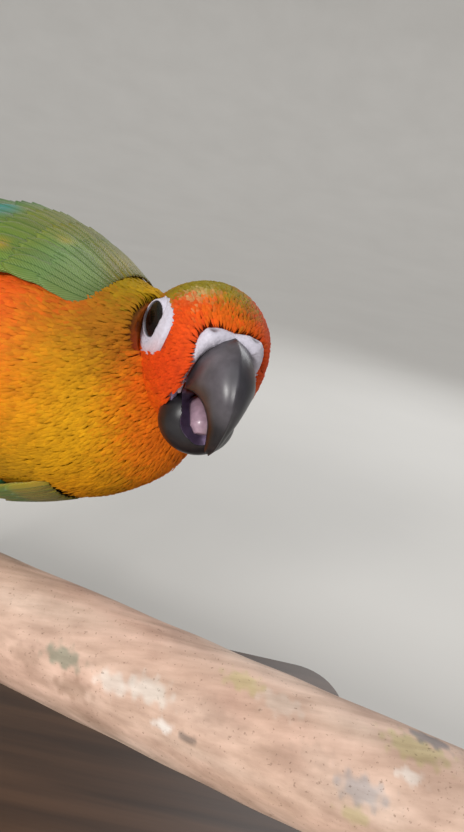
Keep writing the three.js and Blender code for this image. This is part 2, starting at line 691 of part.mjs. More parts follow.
// A closed solid between two grids of points
function sheetGeometry(top, under, along, across) {
  const row = across + 1;
  const count = top.length;
  const index = [];
  for (let i = 0; i < along; i++)
    for (let j = 0; j < across; j++) {
      const a = i * row + j;
      const [b, c, d] = [a + 1, a + row, a + row + 1];
      index.push(a, b, c, b, d, c);
      index.push(count + a, count + c, count + b, count + b, count + c, count + d);
    }
  const edge = [];
  for (let j = 0; j < across; j++) edge.push(j);
  for (let i = 0; i < along; i++) edge.push(i * row + across);
  for (let j = across; j > 0; j--) edge.push(along * row + j);
  for (let i = along; i > 0; i--) edge.push(i * row);
  edge.forEach((a, k) => {
    const b = edge[(k + 1) % edge.length];
    index.push(a, count + a, b, b, count + a, count + b);
  });
  return indexedGeometry([...top, ...under], index);
}

// Tail: six pairs of feathers and the coverts, round a short root behind the rump
const tailAxes = axes({ yaw: BODY[RUMP_S].yaw, pitch: TAIL.pitch, roll: TAIL.roll });

// A point of the tail: behind the rump, to the bird's right and towards its back
function tailPoint(behind, right, back) {
  const at = V(...BODY[RUMP_S].at);
  return blend([at, 1], [tailAxes.forward, -behind], [tailAxes.up, right], [tailAxes.left, back]);
}

function tailVane(root, length, splay, width, tilt, steps, sag) {
  const rings = [];
  for (let i = 0; i <= steps; i++) {
    const u = i / steps;
    const run = length * u;
    const [behind, right, back] = root;
    const at = tailPoint(behind + run, right + run * Math.tan(splay * DEG), back - sag * u);
    const across = blend([tailAxes.up, Math.cos(tilt * DEG)], [tailAxes.left, -Math.sin(tilt * DEG)]);
    const out = blend([tailAxes.left, Math.cos(tilt * DEG)], [tailAxes.up, Math.sin(tilt * DEG)]);
    rings.push(vaneRing(at, across, out, (width / 2) * vaneShape(u), TAIL.thick));
  }
  return solid(stripGeometry(rings));
}

function tailSolid() {
  const pieces = [];
  TAIL_LENGTHS.forEach((length, k) => {
    for (const side of [-1, 1]) {
      const root = [4, side * (1.6 + 1.25 * k), 1.9 - 0.75 * k];
      pieces.push(tailVane(root, length - 4, side * (0.7 + 1.5 * k), TAIL.width, side * TAIL.tilt, 2, 2));
    }
  });
  for (const { count, spread, rise, length, width } of TAIL_COVERTS)
    for (let i = 0; i < count; i++) {
      const u = (2 * i) / (count - 1) - 1;
      const root = [1, u * spread * 0.8, rise * (1 - 0.25 * u * u)];
      const run = mix(length[0], length[1], Math.abs(u));
      pieces.push(tailVane(root, run, u * 6, width, u * 26 * Math.sign(rise), 2, rise * 0.45));
    }
  const sides = 14;
  const rings = TAIL_ROOT.behind.map((behind, i) => {
    const shrink = 1 - TAIL_ROOT.taper * i;
    return Array.from({ length: sides }, (_, j) => {
      const a = (j / sides) * 2 * Math.PI;
      return tailPoint(behind, TAIL_ROOT.half * shrink * Math.cos(a), TAIL_ROOT.thick * shrink * Math.sin(a));
    });
  });
  return carve(fuse([solid(stackGeometry(rings)), ...pieces]), [torsoRoom]);
}

const tail = tailSolid();

node("torso", torso, "yellow");
node("neck", neck, "yellow");
node("head", head, "orange");
node("cere", cere, "flesh");
node("beak_upper", billUpper, "horn");
node("beak_lower", billLower, "horn");
node("tongue", tongue, "tongue");
node("eye_right", eyes[0], "eye");
node("eye_left", eyes[1], "eye");
for (const leg of SIDES) {
  const wing = carve(wingSolid(leg.side), [torsoRoom, neckRoom, headRoom]);
  node("wing_" + leg.name, wing, "green");
}
node("tail", tail, "green");
for (const leg of SIDES) {
  const foot = footSolid(leg);
  const ankleRoom = ball(ankle(leg), ANKLE_ROOM, 12, 8);
  const thigh = carve(thighSolid(leg), [torsoRoom, ankleRoom]);
  node("thigh_" + leg.name, thigh, "yellow");
  node("foot_" + leg.name, foot, "foot");
  for (const toe of TOES) node("claw_" + leg.name + "_" + toe.name, clawSolid(leg, toe), "claw");
}
node("perch", perchSolid(), "wood");
node("stand_base", baseSolid(), "base");
ROD.along.forEach((along, i) => node("stand_rod_" + (i + 1), rodSolid(along), "steel"));

export default group;
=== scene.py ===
# A sun conure as a still museum model: skin, plumage, eyes, bill, feet, perch and stand.
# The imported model's frame, in metres. The tables and helpers work in millimetres, and new_mesh converts.
import bpy
import numpy as np
from mathutils import Matrix, Vector
from mathutils.bvhtree import BVHTree


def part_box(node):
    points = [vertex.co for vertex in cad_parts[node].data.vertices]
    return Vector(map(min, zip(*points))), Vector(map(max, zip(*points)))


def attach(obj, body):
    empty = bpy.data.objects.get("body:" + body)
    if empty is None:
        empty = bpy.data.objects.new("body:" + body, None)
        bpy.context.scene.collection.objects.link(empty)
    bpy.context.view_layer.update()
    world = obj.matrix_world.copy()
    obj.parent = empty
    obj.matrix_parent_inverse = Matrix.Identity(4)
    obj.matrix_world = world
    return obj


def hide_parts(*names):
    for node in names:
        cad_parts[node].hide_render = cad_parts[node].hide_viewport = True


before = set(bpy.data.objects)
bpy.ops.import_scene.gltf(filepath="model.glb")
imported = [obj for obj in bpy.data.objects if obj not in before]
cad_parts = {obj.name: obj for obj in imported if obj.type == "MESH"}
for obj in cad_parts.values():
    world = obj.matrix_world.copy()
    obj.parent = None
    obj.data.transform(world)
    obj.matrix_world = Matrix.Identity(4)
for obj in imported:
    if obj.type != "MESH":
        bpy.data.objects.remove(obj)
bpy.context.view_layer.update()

MM = 0.001

# Body and head, as in the solids. Each station of the body has its place, the yaw, pitch and roll of
# the line, and how far the skin lies up, down, far (to the back or left) and near (to the breast or right).
BODY = np.array([
    (-131.8, 67.9, 87.5, -25.7, 18, 47, 9.5, 9.5, 9, 6),
    (-110.3, 57.6, 95.3, -25.7, 16, 47, 11.5, 11.5, 9.5, 7),
    (-93.2, 49.4, 99.4, -25.7, 12, 46, 12, 12, 9, 8.5),
    (-84.1, 44.7, 100.9, -25.7, 9, 45, 14.5, 14.5, 11, 11.5),
    (-70.8, 38.1, 102.6, -25.7, 7, 43, 20, 20, 15.5, 16),
    (-54.6, 30.0, 104.2, -25.7, 6, 38, 25, 25, 19, 20.5),
    (-36.4, 21.6, 106.0, -25.7, 6, 27, 28, 28, 21.5, 25.5),
    (-19.1, 13.7, 107.9, -25.7, 7, 14, 29, 29.5, 22.5, 28),
    (-4.9, 7.1, 110.0, -27, 8, 6, 28.5, 31, 22, 27.5),
    (6.4, 3.2, 111.4, -30, 8, 2, 25.5, 30.4, 20, 25),
    (14.9, 2.0, 112.6, -34, 9, 0, 20, 28.4, 18, 22),
    (22.3, 2.0, 115.6, -42, 11, 0, 15, 25.2, 15, 17),
    (28.2, 3.5, 119.2, -50, 12, 0, 10, 19.5, 10, 9.5),
], dtype=float)
# The head's stations: forward of the bill's root, then up, down, far and near
SKULL = [
    (-36.5, 4.5, 4.5, 4.5, 4.5),
    (-33.5, 8.6, 9.5, 9, 9),
    (-29, 11.6, 13.5, 12, 12),
    (-23, 13.6, 17, 13.5, 13.8),
    (-17.5, 14.1, 19, 13.4, 14.2),
    (-12, 13.6, 18.5, 12.8, 13.4),
    (-7, 11.7, 16.4, 11.4, 11.8),
    (-3, 8.4, 12.5, 9.4, 9.6),
    (-0.5, 4.5, 9, 7, 7),
]
SKULL_DROP = 2
SKULL_SHIFT = -0.7
RUMP_S = 2
NECK_END_S = 12
WRIST_S = 9
HEAD_AT = np.array((37.1, -14.6, 126.4))
HEAD_TURN = (-71.5, 8.7, -5.0)
BODY_DEPTH = 1.7
HEAD_DEPTH = 1.1
HIDDEN_SHARE = 0.95
NAPE_RISE = 1.7
# Half the side of a feather's patch on the bake map
PATCH = 0.0014

EYE = {
    "forward": -17, "side": 9.5, "up": 0.9, "radius": 5.1, "facing": 74,
    "opening": 3.9, "level": 3.1, "bulge": 0.5, "lean": 1.3,
}
PERCH = {"at": np.array((40, -26.7, 54.7)), "yaw": -17.6, "radius": 12.5, "left": -128, "right": 69}
TAIL = {"pitch": 22, "roll": 46, "lengths": (131, 122, 112, 101, 90, 78), "width": 12.5, "tilt": 12}

# The camera: 40 mm right of the stand's middle and 148 mm before it, looking 15.7 degrees down
CAMERA_AT = np.array((40.0, -148.0, 149.5))
CAMERA_RIGHT = np.array((0.976, 0.059, 0.21))
CAMERA_AHEAD = np.array((0.0, 0.963, -0.27))
FRAME_SIZE = (464, 832)
FOCAL_PX = 690.0
SENSOR_MM = 36.0

# Colours by name
PALETTE = {
    "gold": 0xD2980A,
    "pale_gold": 0xE8B81A,
    "amber": 0xD07C08,
    "orange": 0xE0600C,
    "flame": 0xD8480E,
    "scarlet": 0xD03A0E,
    "rust": 0xA8480E,
    # umber is painted shade in the hollow between the head and the breast
    "umber": 0x8A5A18,
    "olive": 0x8A7C10,
    "moss": 0x6B6C12,
    "leaf": 0x5A7416,
    "green": 0x3E661C,
    "deep_green": 0x1E4C20,
    # sage is painted sheen on the bends of the wings
    "painted_sheen_sage": 0x6F8F5A,
    "teal": 0x1F7D7A,
    "blue": 0x1C3F86,
    "ink": 0x14233F,
    "sand": 0xC9C08A,
    "skin": 0xC6C2D0,
    "pink": 0xC9A0A6,
    "lilac": 0xA591B2,
    "rose": 0xA78A9A,
    "horn": 0x1A181C,
    # The grey and blue horn tones are painted light and painted shade on the upper bill
    "horn_painted_light": 0x625C62,
    "horn_painted_shade": 0x191C27,
    "horn_red": 0x40191C,
}


def linear(name):
    value = PALETTE[name]
    srgb = np.array([(value >> shift) & 255 for shift in (16, 8, 0)]) / 255
    return np.where(srgb <= 0.04045, srgb / 12.92, ((srgb + 0.055) / 1.055) ** 2.4)


def unit(v):
    return v / np.maximum(np.linalg.norm(v, axis=-1, keepdims=True), 1e-9)


def smooth(low, high, x):
    t = np.clip((x - low) / (high - low), 0, 1)
    return t * t * (3 - 2 * t)


def full_turn(sides):
    return np.linspace(0, 2 * np.pi, sides, endpoint=False)


def round_grid(start, end, steps, sides):
    """A grid of places from start to end, and of angles all the way round."""
    return np.meshgrid(np.linspace(start, end, steps), full_turn(sides), indexing="ij")


# Frames and lofts, as in the solids

def axes(yaw, pitch, roll):
    yaw, pitch, roll = (np.radians(np.asarray(a, float)) for a in (yaw, pitch, roll))
    level = np.cos(pitch)
    forward = np.stack([np.cos(yaw) * level, np.sin(yaw) * level, np.sin(pitch)], -1)
    left = np.stack([-np.sin(yaw), np.cos(yaw), 0 * yaw], -1)
    up = np.cross(forward, left)
    c = np.cos(roll)[..., None]
    s = np.sin(roll)[..., None]
    return forward, left * c + up * s, up * c - left * s


HEAD_FORWARD, HEAD_LEFT, HEAD_UP = axes(*HEAD_TURN)


def head_point(forward, left, up):
    parts = [np.asarray(v, float)[..., None] for v in (forward, left, up)]
    return HEAD_AT + parts[0] * HEAD_FORWARD + parts[1] * HEAD_LEFT + parts[2] * HEAD_UP


def head_local(points):
    """Places as forward, left and up from the head's origin."""
    return (points - HEAD_AT) @ np.stack([HEAD_FORWARD, HEAD_LEFT, HEAD_UP], 1)


def head_rows():
    rows = []
    for forward, up, down, far, near in SKULL:
        rows.append((*head_point(forward, SKULL_SHIFT, -SKULL_DROP), *HEAD_TURN, up, down, far, near))
    return np.array(rows)


HEAD = head_rows()
HEAD_END_S = len(SKULL) - 1


def catmull(p, t):
    a = 2 * p[1]
    b = p[2] - p[0]
    c = 2 * p[0] - 5 * p[1] + 4 * p[2] - p[3]
    d = 3 * p[1] - p[0] - 3 * p[2] + p[3]
    return 0.5 * (a + b * t + c * t * t + d * t ** 3)


def station(rows, s):
    s = np.asarray(s, float)
    i = np.clip(np.floor(s).astype(int), 0, len(rows) - 2)
    near = [rows[np.clip(i + k, 0, len(rows) - 1)] for k in (-1, 0, 1, 2)]
    return catmull(near, (s - i)[..., None])


def skin_point(rows, s, angle, lift=0.0):
    """A point at s along a loft and an angle (radians) from up towards far, lifted off its skin."""
    st = station(rows, s)
    _, left, up = axes(st[..., 3], st[..., 4], st[..., 5])
    c = np.cos(angle)
    d = np.sin(angle)
    rise = (np.where(c > 0, st[..., 6], st[..., 7]) + lift) * c
    spread = (np.where(d > 0, st[..., 8], st[..., 9]) + lift) * d
    return st[..., :3] + up * rise[..., None] + left * spread[..., None]


def surface_frame(rows, s, angle, lift):
    """The point, the way back along the lie of the feathers, and the outward direction there."""
    step = 0.01
    at = skin_point(rows, s, angle, lift)
    ahead = skin_point(rows, s + step, angle, lift) - skin_point(rows, s - step, angle, lift)
    around = skin_point(rows, s, angle + step, lift) - skin_point(rows, s, angle - step, lift)
    out = unit(np.cross(ahead, around))
    return at, -unit(ahead), out


# Meshes

def new_mesh(name, points, faces, bake_uv=None, colour=None, vane=None):
    """A mesh from triangles or quads (one count of corners), with its bake map and colours."""
    mesh = bpy.data.meshes.new(name)
    corners = faces.shape[1]
    mesh.vertices.add(len(points))
    mesh.vertices.foreach_set("co", (points * MM).astype(np.float32).ravel())
    mesh.loops.add(faces.size)
    mesh.loops.foreach_set("vertex_index", faces.astype(np.int32).ravel())
    mesh.polygons.add(len(faces))
    mesh.polygons.foreach_set("loop_start", np.arange(0, faces.size, corners, dtype=np.int32))
    mesh.polygons.foreach_set("use_smooth", np.ones(len(faces), bool))
    mesh.update(calc_edges=True)
    if bake_uv is not None:
        layer = mesh.uv_layers.new(name="OFBake")
        layer.data.foreach_set("uv", bake_uv[faces.ravel()].astype(np.float32).ravel())
    if colour is not None:
        paint(mesh, colour)
    if vane is not None:
        layer = mesh.attributes.new("vane", "FLOAT_VECTOR", "POINT")
        layer.data.foreach_set("vector", vane.astype(np.float32).ravel())
    return mesh


def paint(mesh, colour):
    layer = mesh.color_attributes.new("tint", "FLOAT_COLOR", "POINT")
    rgba = np.ones((len(colour), 4), np.float32)
    rgba[:, :3] = np.clip(colour, 0, 1)
    layer.data.foreach_set("color", rgba.ravel())


def facing_out(points, faces):
    """The triangles, turned over where the closed mesh is inside out."""
    a, b, c = (points[faces[:, k]] for k in range(3))
    volume = np.einsum("ij,ij->", a, np.cross(b, c))
    return faces if volume > 0 else faces[:, ::-1]


def new_object(name, data):
    obj = bpy.data.objects.new(name, data)
    bpy.context.scene.collection.objects.link(obj)
    return obj


def piece(name, mesh, material, slot, *nodes):
    mesh.materials.clear()
    mesh.materials.append(material)
    obj = new_object(name, mesh)
    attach(obj, "root")
    if nodes:
        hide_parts(*nodes)


def tinted_piece(name, made, material, slot, *nodes):
    """A piece from points, triangles and a colour for each point."""
    points, faces, colour = made
    piece(name, new_mesh(name, points, faces, colour=colour), material, slot, *nodes)


def in_one_tone(made, tone):
    points, faces = made
    return points, faces, np.tile(np.array(tone), (len(points), 1))


def search_tree(points, faces):
    """A tree of a mesh's triangles for casting rays, in metres."""
    return BVHTree.FromPolygons([Vector(p) for p in points * MM], faces.tolist())


def cells(rows, columns, down, across):
    """The corners of a grid's cells: the first, the next across, the next down and the one past both.

    A grid with as many cells as rows or columns closes on itself that way."""
    i, j = np.meshgrid(np.arange(down), np.arange(across), indexing="ij")
    return [((i + m) % rows * columns + (j + n) % columns).ravel() for m in (0, 1) for n in (0, 1)]


def cell_faces(rows, columns, down, across):
    a, b, c, d = cells(rows, columns, down, across)
    return np.concatenate([np.stack([a, b, c], 1), np.stack([b, d, c], 1)])


def stack_faces(rings, sides):
    """Triangles round a stack of rings, with a point at each end after the rings."""
    k = np.arange(sides)
    following = (k + 1) % sides
    first = rings * sides
    top = (rings - 1) * sides
    ends = [
        np.stack([np.full(sides, first), following, k], 1),
        np.stack([np.full(sides, first + 1), top + k, top + following], 1),
    ]
    return np.concatenate([cell_faces(rings, sides, rings - 1, sides), *ends])


def stack_mesh(rings):
    """Points and triangles of a closed stack of rings, an array of rings x sides x 3."""
    count, sides, _ = rings.shape
    ends = [rings[0].mean(0), rings[-1].mean(0)]
    points = np.concatenate([rings.reshape(-1, 3), ends])
    return points, facing_out(points, stack_faces(count, sides))


def sheet_faces(rows, columns):
    """Triangles of a closed sheet: a grid of rows x columns on top and the same grid beneath."""
    under = rows * columns
    grid = np.arange(under).reshape(rows, columns)
    rim = np.concatenate([grid[0, :-1], grid[:-1, -1], grid[-1, :0:-1], grid[:0:-1, 0]])
    following = np.roll(rim, -1)
    top = cell_faces(rows, columns, rows - 1, columns - 1)
    edge = [
        np.stack([rim, rim + under, following], 1),
        np.stack([following, rim + under, following + under], 1),
    ]
    return np.concatenate([top, top[:, ::-1] + under, *edge])


def sheet_mesh(top, under):
    """Points and triangles of a closed sheet from two grids of places."""
    points = np.concatenate([top.reshape(-1, 3), under.reshape(-1, 3)])
    return points, facing_out(points, sheet_faces(*top.shape[:2]))


def both_sides(values):
    """The same values for the points of a sheet's top and underside."""
    return np.tile(values.reshape(-1, values.shape[-1]), (2, 1))


def tube_rings(path, radii, sides, steps, scutes=None):
    """Rings round a smooth path through points, with a radius at each point.

    Scutes are the count and the depth of the plates along it."""
    path = np.asarray(path, float)
    padded = np.concatenate([[2 * path[0] - path[1]], path, [2 * path[-1] - path[-2]]])
    t = np.linspace(0, len(path) - 1, steps + 1)
    i = np.clip(np.floor(t).astype(int), 0, len(path) - 2)
    at = catmull([padded[i + k] for k in range(4)], (t - i)[:, None])
    radius = np.interp(t, np.arange(len(radii)), radii)
    if scutes is not None:
        count, depth = scutes
        share = t / (len(path) - 1) * count % 1
        radius = radius * (1 + depth * (1 - share) ** 2 - depth * 0.5)
    ahead = unit(np.gradient(at, axis=0))
    normal = unit(np.cross(ahead[0], np.array((0.3, 0.1, 1.0))))
    angles = full_turn(sides)
    rings = []
    for k in range(len(at)):
        normal = unit(normal - ahead[k] * (normal @ ahead[k]))
        other = np.cross(ahead[k], normal)
        spokes = np.outer(np.cos(angles), normal) + np.outer(np.sin(angles), other)
        rings.append(at[k] + radius[k] * spokes)
    return np.array(rings)


def join(parts):
    """One list of points, triangles and any further per-point arrays from several."""
    points, faces, extras = [], [], [[] for _ in parts[0][2:]]
    start = 0
    for part in parts:
        points.append(part[0])
        faces.append(part[1] + start)
        start += len(part[0])
        for store, values in zip(extras, part[2:]):
            store.append(values)
    return (np.concatenate(points), np.concatenate(faces), *[np.concatenate(e) for e in extras])


# Materials

# Sockets of the main shader and what they hold unless a material says otherwise
FINISH = {
    "specular": ("Specular IOR Level", 0.5),
    "sheen": ("Sheen Weight", 0.0),
    "coat": ("Coat Weight", 0.0),
    "coat_roughness": ("Coat Roughness", 0.1),
    "metallic": ("Metallic", 0.0),
}


class Look:
    """A material in the making, with a short call for each kind of node."""

    def __init__(self, name):
        self.material = bpy.data.materials.new(name)
        self.material.use_nodes = True
        self.nodes = self.material.node_tree.nodes
        self.links = self.material.node_tree.links
        self.shader = self.nodes["Principled BSDF"]

    def put(self, value, socket):
        if isinstance(value, (int, float)):
            socket.default_value = value
        elif isinstance(value, tuple):
            socket.default_value = (*value, 1)
        else:
            self.links.new(value, socket)

    def attribute(self, name):
        node = self.nodes.new("ShaderNodeAttribute")
        node.attribute_name = name
        return node

    def math(self, operation, first, second=None):
        node = self.nodes.new("ShaderNodeMath")
        node.operation = operation
        self.put(first, node.inputs[0])
        if second is not None:
            self.put(second, node.inputs[1])
        return node.outputs[0]

    def noise(self, scale, detail=4.0, stretch=None, turn=0.0):
        """Noise in the part's own frame; scale is in repeats per metre, turn in degrees about z."""
        place = self.nodes.new("ShaderNodeTexCoord").outputs["Object"]
        if stretch is not None:
            mapping = self.nodes.new("ShaderNodeMapping")
            mapping.inputs["Scale"].default_value = stretch
            mapping.inputs["Rotation"].default_value = (0, 0, np.radians(turn))
            self.links.new(place, mapping.inputs["Vector"])
            place = mapping.outputs["Vector"]
        node = self.nodes.new("ShaderNodeTexNoise")
        node.inputs["Scale"].default_value = scale
        node.inputs["Detail"].default_value = detail
        self.links.new(place, node.inputs["Vector"])
        return node.outputs["Fac"]

    def ramp(self, factor, *stops):
        node = self.nodes.new("ShaderNodeValToRGB")
        elements = node.color_ramp.elements
        for element, (place, colour) in zip(elements, stops):
            element.position = place
            element.color = (*colour, 1)
        self.links.new(factor, node.inputs["Fac"])
        return node.outputs["Color"]

    def mix(self, kind, factor, first, second):
        node = self.nodes.new("ShaderNodeMix")
        node.data_type = "RGBA"
        node.blend_type = kind
        for place, value in ((0, factor), (6, first), (7, second)):
            self.put(value, node.inputs[place])
        return node.outputs[2]

    def bump(self, height, strength, distance):
        node = self.nodes.new("ShaderNodeBump")
        node.inputs["Strength"].default_value = strength
        node.inputs["Distance"].default_value = distance
        self.links.new(height, node.inputs["Height"])
        self.links.new(node.outputs["Normal"], self.shader.inputs["Normal"])

    def finish(self, colour, roughness, **given):
        self.links.new(colour, self.shader.inputs["Base Color"])
        self.shader.inputs["Roughness"].default_value = roughness
        for key, (socket, usual) in FINISH.items():
            self.shader.inputs[socket].default_value = given.get(key, usual)
        return self.material


def tinted(name, roughness, variation, scale, bump, **finish):
    """A material that takes its colour from the mesh's own tint, broken up by noise."""
    look = Look(name)
    noise = look.noise(scale)
    shade = look.ramp(noise, (0.3, (1 - variation,) * 3), (0.7, (1 + variation * 0.4,) * 3))
    if bump:
        look.bump(noise, bump, 0.0002)
    tint = look.attribute("tint").outputs["Color"]
    return look.finish(look.mix("MULTIPLY", 1.0, tint, shade), roughness, **finish)


BARBS = {"slant": 1.5, "per_mm": 9.0, "rough": 900.0, "shade": (0.84, 1.06)}
SHAFT = {"inner": 0.02, "outer": 0.16, "shade": 0.7}


def vane_material(name):
    """A feather's vane: its tint, the shaft as a fine line and the barbs as slanting threads."""
    look = Look(name)
    split = look.nodes.new("ShaderNodeSeparateXYZ")
    look.links.new(look.attribute("vane").outputs["Vector"], split.inputs[0])
    aside = look.math("ABSOLUTE", split.outputs["X"])
    run = look.math("SUBTRACT", split.outputs["Y"], look.math("MULTIPLY", aside, BARBS["slant"]))
    wave = look.math("SINE", look.math("MULTIPLY", run, BARBS["per_mm"]))
    threads = look.math("MULTIPLY", wave, look.noise(BARBS["rough"]))
    shaft = look.nodes.new("ShaderNodeMapRange")
    shaft.inputs["From Min"].default_value = SHAFT["inner"]
    shaft.inputs["From Max"].default_value = SHAFT["outer"]
    look.links.new(aside, shaft.inputs["Value"])
    low, high = BARBS["shade"]
    shade = look.ramp(look.math("ADD", threads, 0.5), (0.0, (low,) * 3), (1.0, (high,) * 3))
    body = look.mix("MULTIPLY", 1.0, look.attribute("tint").outputs["Color"], shade)
    line = tuple(linear("green") * SHAFT["shade"])
    look.bump(threads, 0.35, 0.0002)
    colour = look.mix("MIX", shaft.outputs["Result"], line, body)
    return look.finish(colour, 0.5, specular=0.35, sheen=0.15)


def base_wood_material():
    look = Look("base_wood")
    fine = look.noise(160.0, 6.0, stretch=(0.06, 1, 1), turn=-PERCH["yaw"])
    look.bump(fine, 0.25, 0.0004)
    return look.finish(look.ramp(fine, (0.3, (0.035, 0.017, 0.009)), (0.7, (0.1, 0.05, 0.026))), 0.38)


def steel_material():
    look = Look("stand_steel")
    brushed = look.noise(900.0, 3.0, stretch=(1, 1, 0.05))
    look.bump(brushed, 0.05, 0.0001)
    colour = look.ramp(brushed, (0.2, (0.42, 0.43, 0.45)), (0.8, (0.62, 0.63, 0.65)))
    return look.finish(colour, 0.3, metallic=1.0)


def floor_material():
    look = Look("floor")
    colour = look.ramp(look.noise(6.0), (0.3, (0.62, 0.605, 0.58)), (0.7, (0.65, 0.635, 0.61)))
    return look.finish(colour, 0.7)


# Markings: soft patches of colour, each with a place, a reach in mm and a strength

def camera_ray(x, y):
    up = np.cross(CAMERA_RIGHT, CAMERA_AHEAD)
    across = (x - FRAME_SIZE[0] / 2) / FOCAL_PX
    high = (FRAME_SIZE[1] / 2 - y) / FOCAL_PX
    return unit(CAMERA_AHEAD + CAMERA_RIGHT * across + up * high)


def seen_at(tree, x, y):
    """The place on a surface that the camera sees at a pixel of its 464 x 832 frame."""
    hit, _, _, _ = tree.ray_cast(Vector(CAMERA_AT * MM), Vector(camera_ray(x, y)))
    return None if hit is None else np.array(hit) / MM


def loft_tree(rows, start, end):
    s, angle = round_grid(start, end, 60, 64)
    return search_tree(*stack_mesh(skin_point(rows, s, angle)))


BODY_TREE = loft_tree(BODY, RUMP_S, NECK_END_S)
HEAD_TREE = loft_tree(HEAD, 0, HEAD_END_S)


# Marks seen in the photo: x, y, reach, strength and colour
BODY_SEEN = [
    # The umber marks and the rust mark at 120, 330 are painted shade in the hollow between the head and the
    # breast
    (75, 340, 6, 1.6, "olive"), (95, 320, 5, 1.2, "umber"), (120, 330, 4.5, 1.8, "rust"),
    (118, 355, 4, 1.2, "umber"), (60, 355, 6, 1.3, "gold"), (85, 400, 7, 1.8, "pale_gold"),
    (70, 440, 7, 1.6, "gold"), (110, 455, 6, 1.5, "gold"), (100, 480, 5, 1.2, "amber"),
    (135, 400, 6, 2.0, "orange"), (150, 440, 5, 2.0, "orange"), (165, 465, 4.5, 1.6, "amber"),
    (125, 480, 4, 1.2, "olive"), (20, 300, 8, 2.2, "flame"), (25, 360, 8, 1.4, "orange"),
    (10, 420, 9, 1.4, "amber"), (75, 293, 3.5, 2.6, "scarlet"), (95, 296, 3.2, 1.6, "flame"),
    (20, 460, 6, 1.2, "olive"), (150, 370, 4, 1.6, "flame"), (45, 395, 6, 1.0, "amber"),
    # The olive marks at 110, 300 and 130, 285 are partly the mantle's own olive and partly painted shade
    (110, 300, 3.5, 1.6, "olive"), (130, 285, 3.5, 1.6, "olive"),
]
HEAD_SEEN = [
    # The olive marks along the crown are partly the feathers' own olive and partly painted shade on the top
    # of the head
    (180, 287, 2.6, 2.4, "olive"), (205, 286, 2.8, 2.8, "olive"), (232, 300, 2.8, 2.4, "olive"),
    (203, 296, 1.8, 1.8, "sand"), (250, 318, 2.4, 1.6, "moss"), (165, 287, 2.0, 1.6, "rust"),
    (190, 315, 3.0, 2.6, "flame"), (178, 335, 2.6, 2.6, "flame"), (222, 318, 2.4, 2.2, "orange"),
    (255, 345, 2.6, 2.6, "flame"), (245, 332, 2.2, 2.2, "orange"), (160, 375, 3.2, 2.2, "flame"),
    (150, 400, 3.4, 2.0, "orange"), (165, 360, 2.6, 2.2, "scarlet"), (145, 355, 2.6, 1.4, "flame"),
    (140, 300, 2.2, 1.4, "rust"), (208, 308, 2.2, 1.6, "orange"),
]
# Marks on the sides that the photo doesn't show: s, degrees from the back towards the left, reach, strength
# and colour
BODY_UNSEEN = [
    (11, 40, 9, 1.2, "gold"), (10, 0, 9, 1.2, "olive"), (9, 20, 10, 1.0, "gold"),
    (7, 10, 12, 1.0, "gold"), (7, 60, 12, 0.8, "amber"), (5, 0, 10, 1.0, "gold"),
    (4, 20, 9, 1.0, "olive"), (3, 0, 8, 1.4, "moss"), (2.4, 180, 8, 1.4, "olive"),
    (4, 180, 10, 1.0, "amber"), (6, 180, 12, 1.0, "orange"), (6, 230, 12, 1.0, "orange"),
    (8, 180, 12, 1.0, "amber"), (8, 130, 12, 1.0, "amber"), (10.5, 130, 10, 1.0, "orange"),
    (10.5, 90, 10, 1.0, "amber"), (5, 270, 10, 1.0, "orange"), (3.2, 250, 8, 1.0, "amber"),
    (6, 120, 12, 0.8, "amber"),
]
HEAD_UNSEEN = [
    (1.5, 0, 6, 1.6, "amber"), (2.5, 0, 5, 1.6, "gold"), (3.5, 0, 4.5, 1.4, "olive"),
    (3, 60, 5, 1.4, "orange"), (3, 120, 5, 1.4, "orange"), (5, 80, 5, 2.0, "flame"),
    (5, 140, 5, 1.6, "orange"), (6.5, 60, 4, 2.0, "flame"), (3, 180, 6, 1.4, "orange"),
    (3, 240, 6, 1.4, "orange"), (3, 300, 5, 1.2, "rust"), (1.5, 180, 6, 1.2, "orange"),
    (1.5, 90, 6, 1.2, "amber"), (1.5, 270, 6, 1.2, "amber"),
]


def marks_on(tree, seen, unseen, rows):
    """The places of marks, their reaches, strengths and colours, each as an array."""
    found = [(seen_at(tree, x, y), *rest) for x, y, *rest in seen]
    found += [(skin_point(rows, float(s), np.radians(float(a))), *rest) for s, a, *rest in unseen]
    found = [(at, size, weight, linear(name)) for at, size, weight, name in found if at is not None]
    return [np.array(column, float) for column in zip(*found)]


def mark_weights(points, marks):
    places, reach, strength, _ = marks
    distance = ((points[:, None] - places[None]) ** 2).sum(-1)
    return strength * np.exp(-0.5 * distance / reach ** 2)


def marked(points, marks):
    """The colour of each point from the marks near it."""
    batch = 20000
    result = np.empty_like(points)
    for start in range(0, len(points), batch):
        weight = mark_weights(points[start:start + batch], marks) + 1e-9
        result[start:start + batch] = weight @ marks[3] / weight.sum(1, keepdims=True)
    return result


# Bare places: round the eyes, the bill and the mouth

def spokes(around, ahead, up):
    """Directions at angles from ahead towards up."""
    return np.cos(around)[..., None] * ahead + np.sin(around)[..., None] * up


def eye_frame(side):
    turn = np.radians(EYE["facing"])
    out = HEAD_FORWARD * np.cos(turn) + HEAD_LEFT * side * np.sin(turn)
    centre = head_point(EYE["forward"], SKULL_SHIFT + side * EYE["side"], EYE["up"])
    ahead = unit(HEAD_FORWARD - out * (HEAD_FORWARD @ out))
    up = unit(HEAD_UP - out * (HEAD_UP @ out) - ahead * (HEAD_UP @ ahead))
    return centre, out, ahead, up


# How far the bare skin reaches past the eye's opening, by degrees from forward towards up
RING_REACH = [
    (0, 4.4), (45, 2.4), (90, 1.3), (135, 1.3), (180, 1.6), (225, 2.1), (270, 3.4), (315, 4.7), (360, 4.4),
]


def ring_reach(angle):
    degrees = np.degrees(angle) % 360
    places, sizes = zip(*RING_REACH)
    return EYE["opening"] + np.interp(degrees, places, sizes)


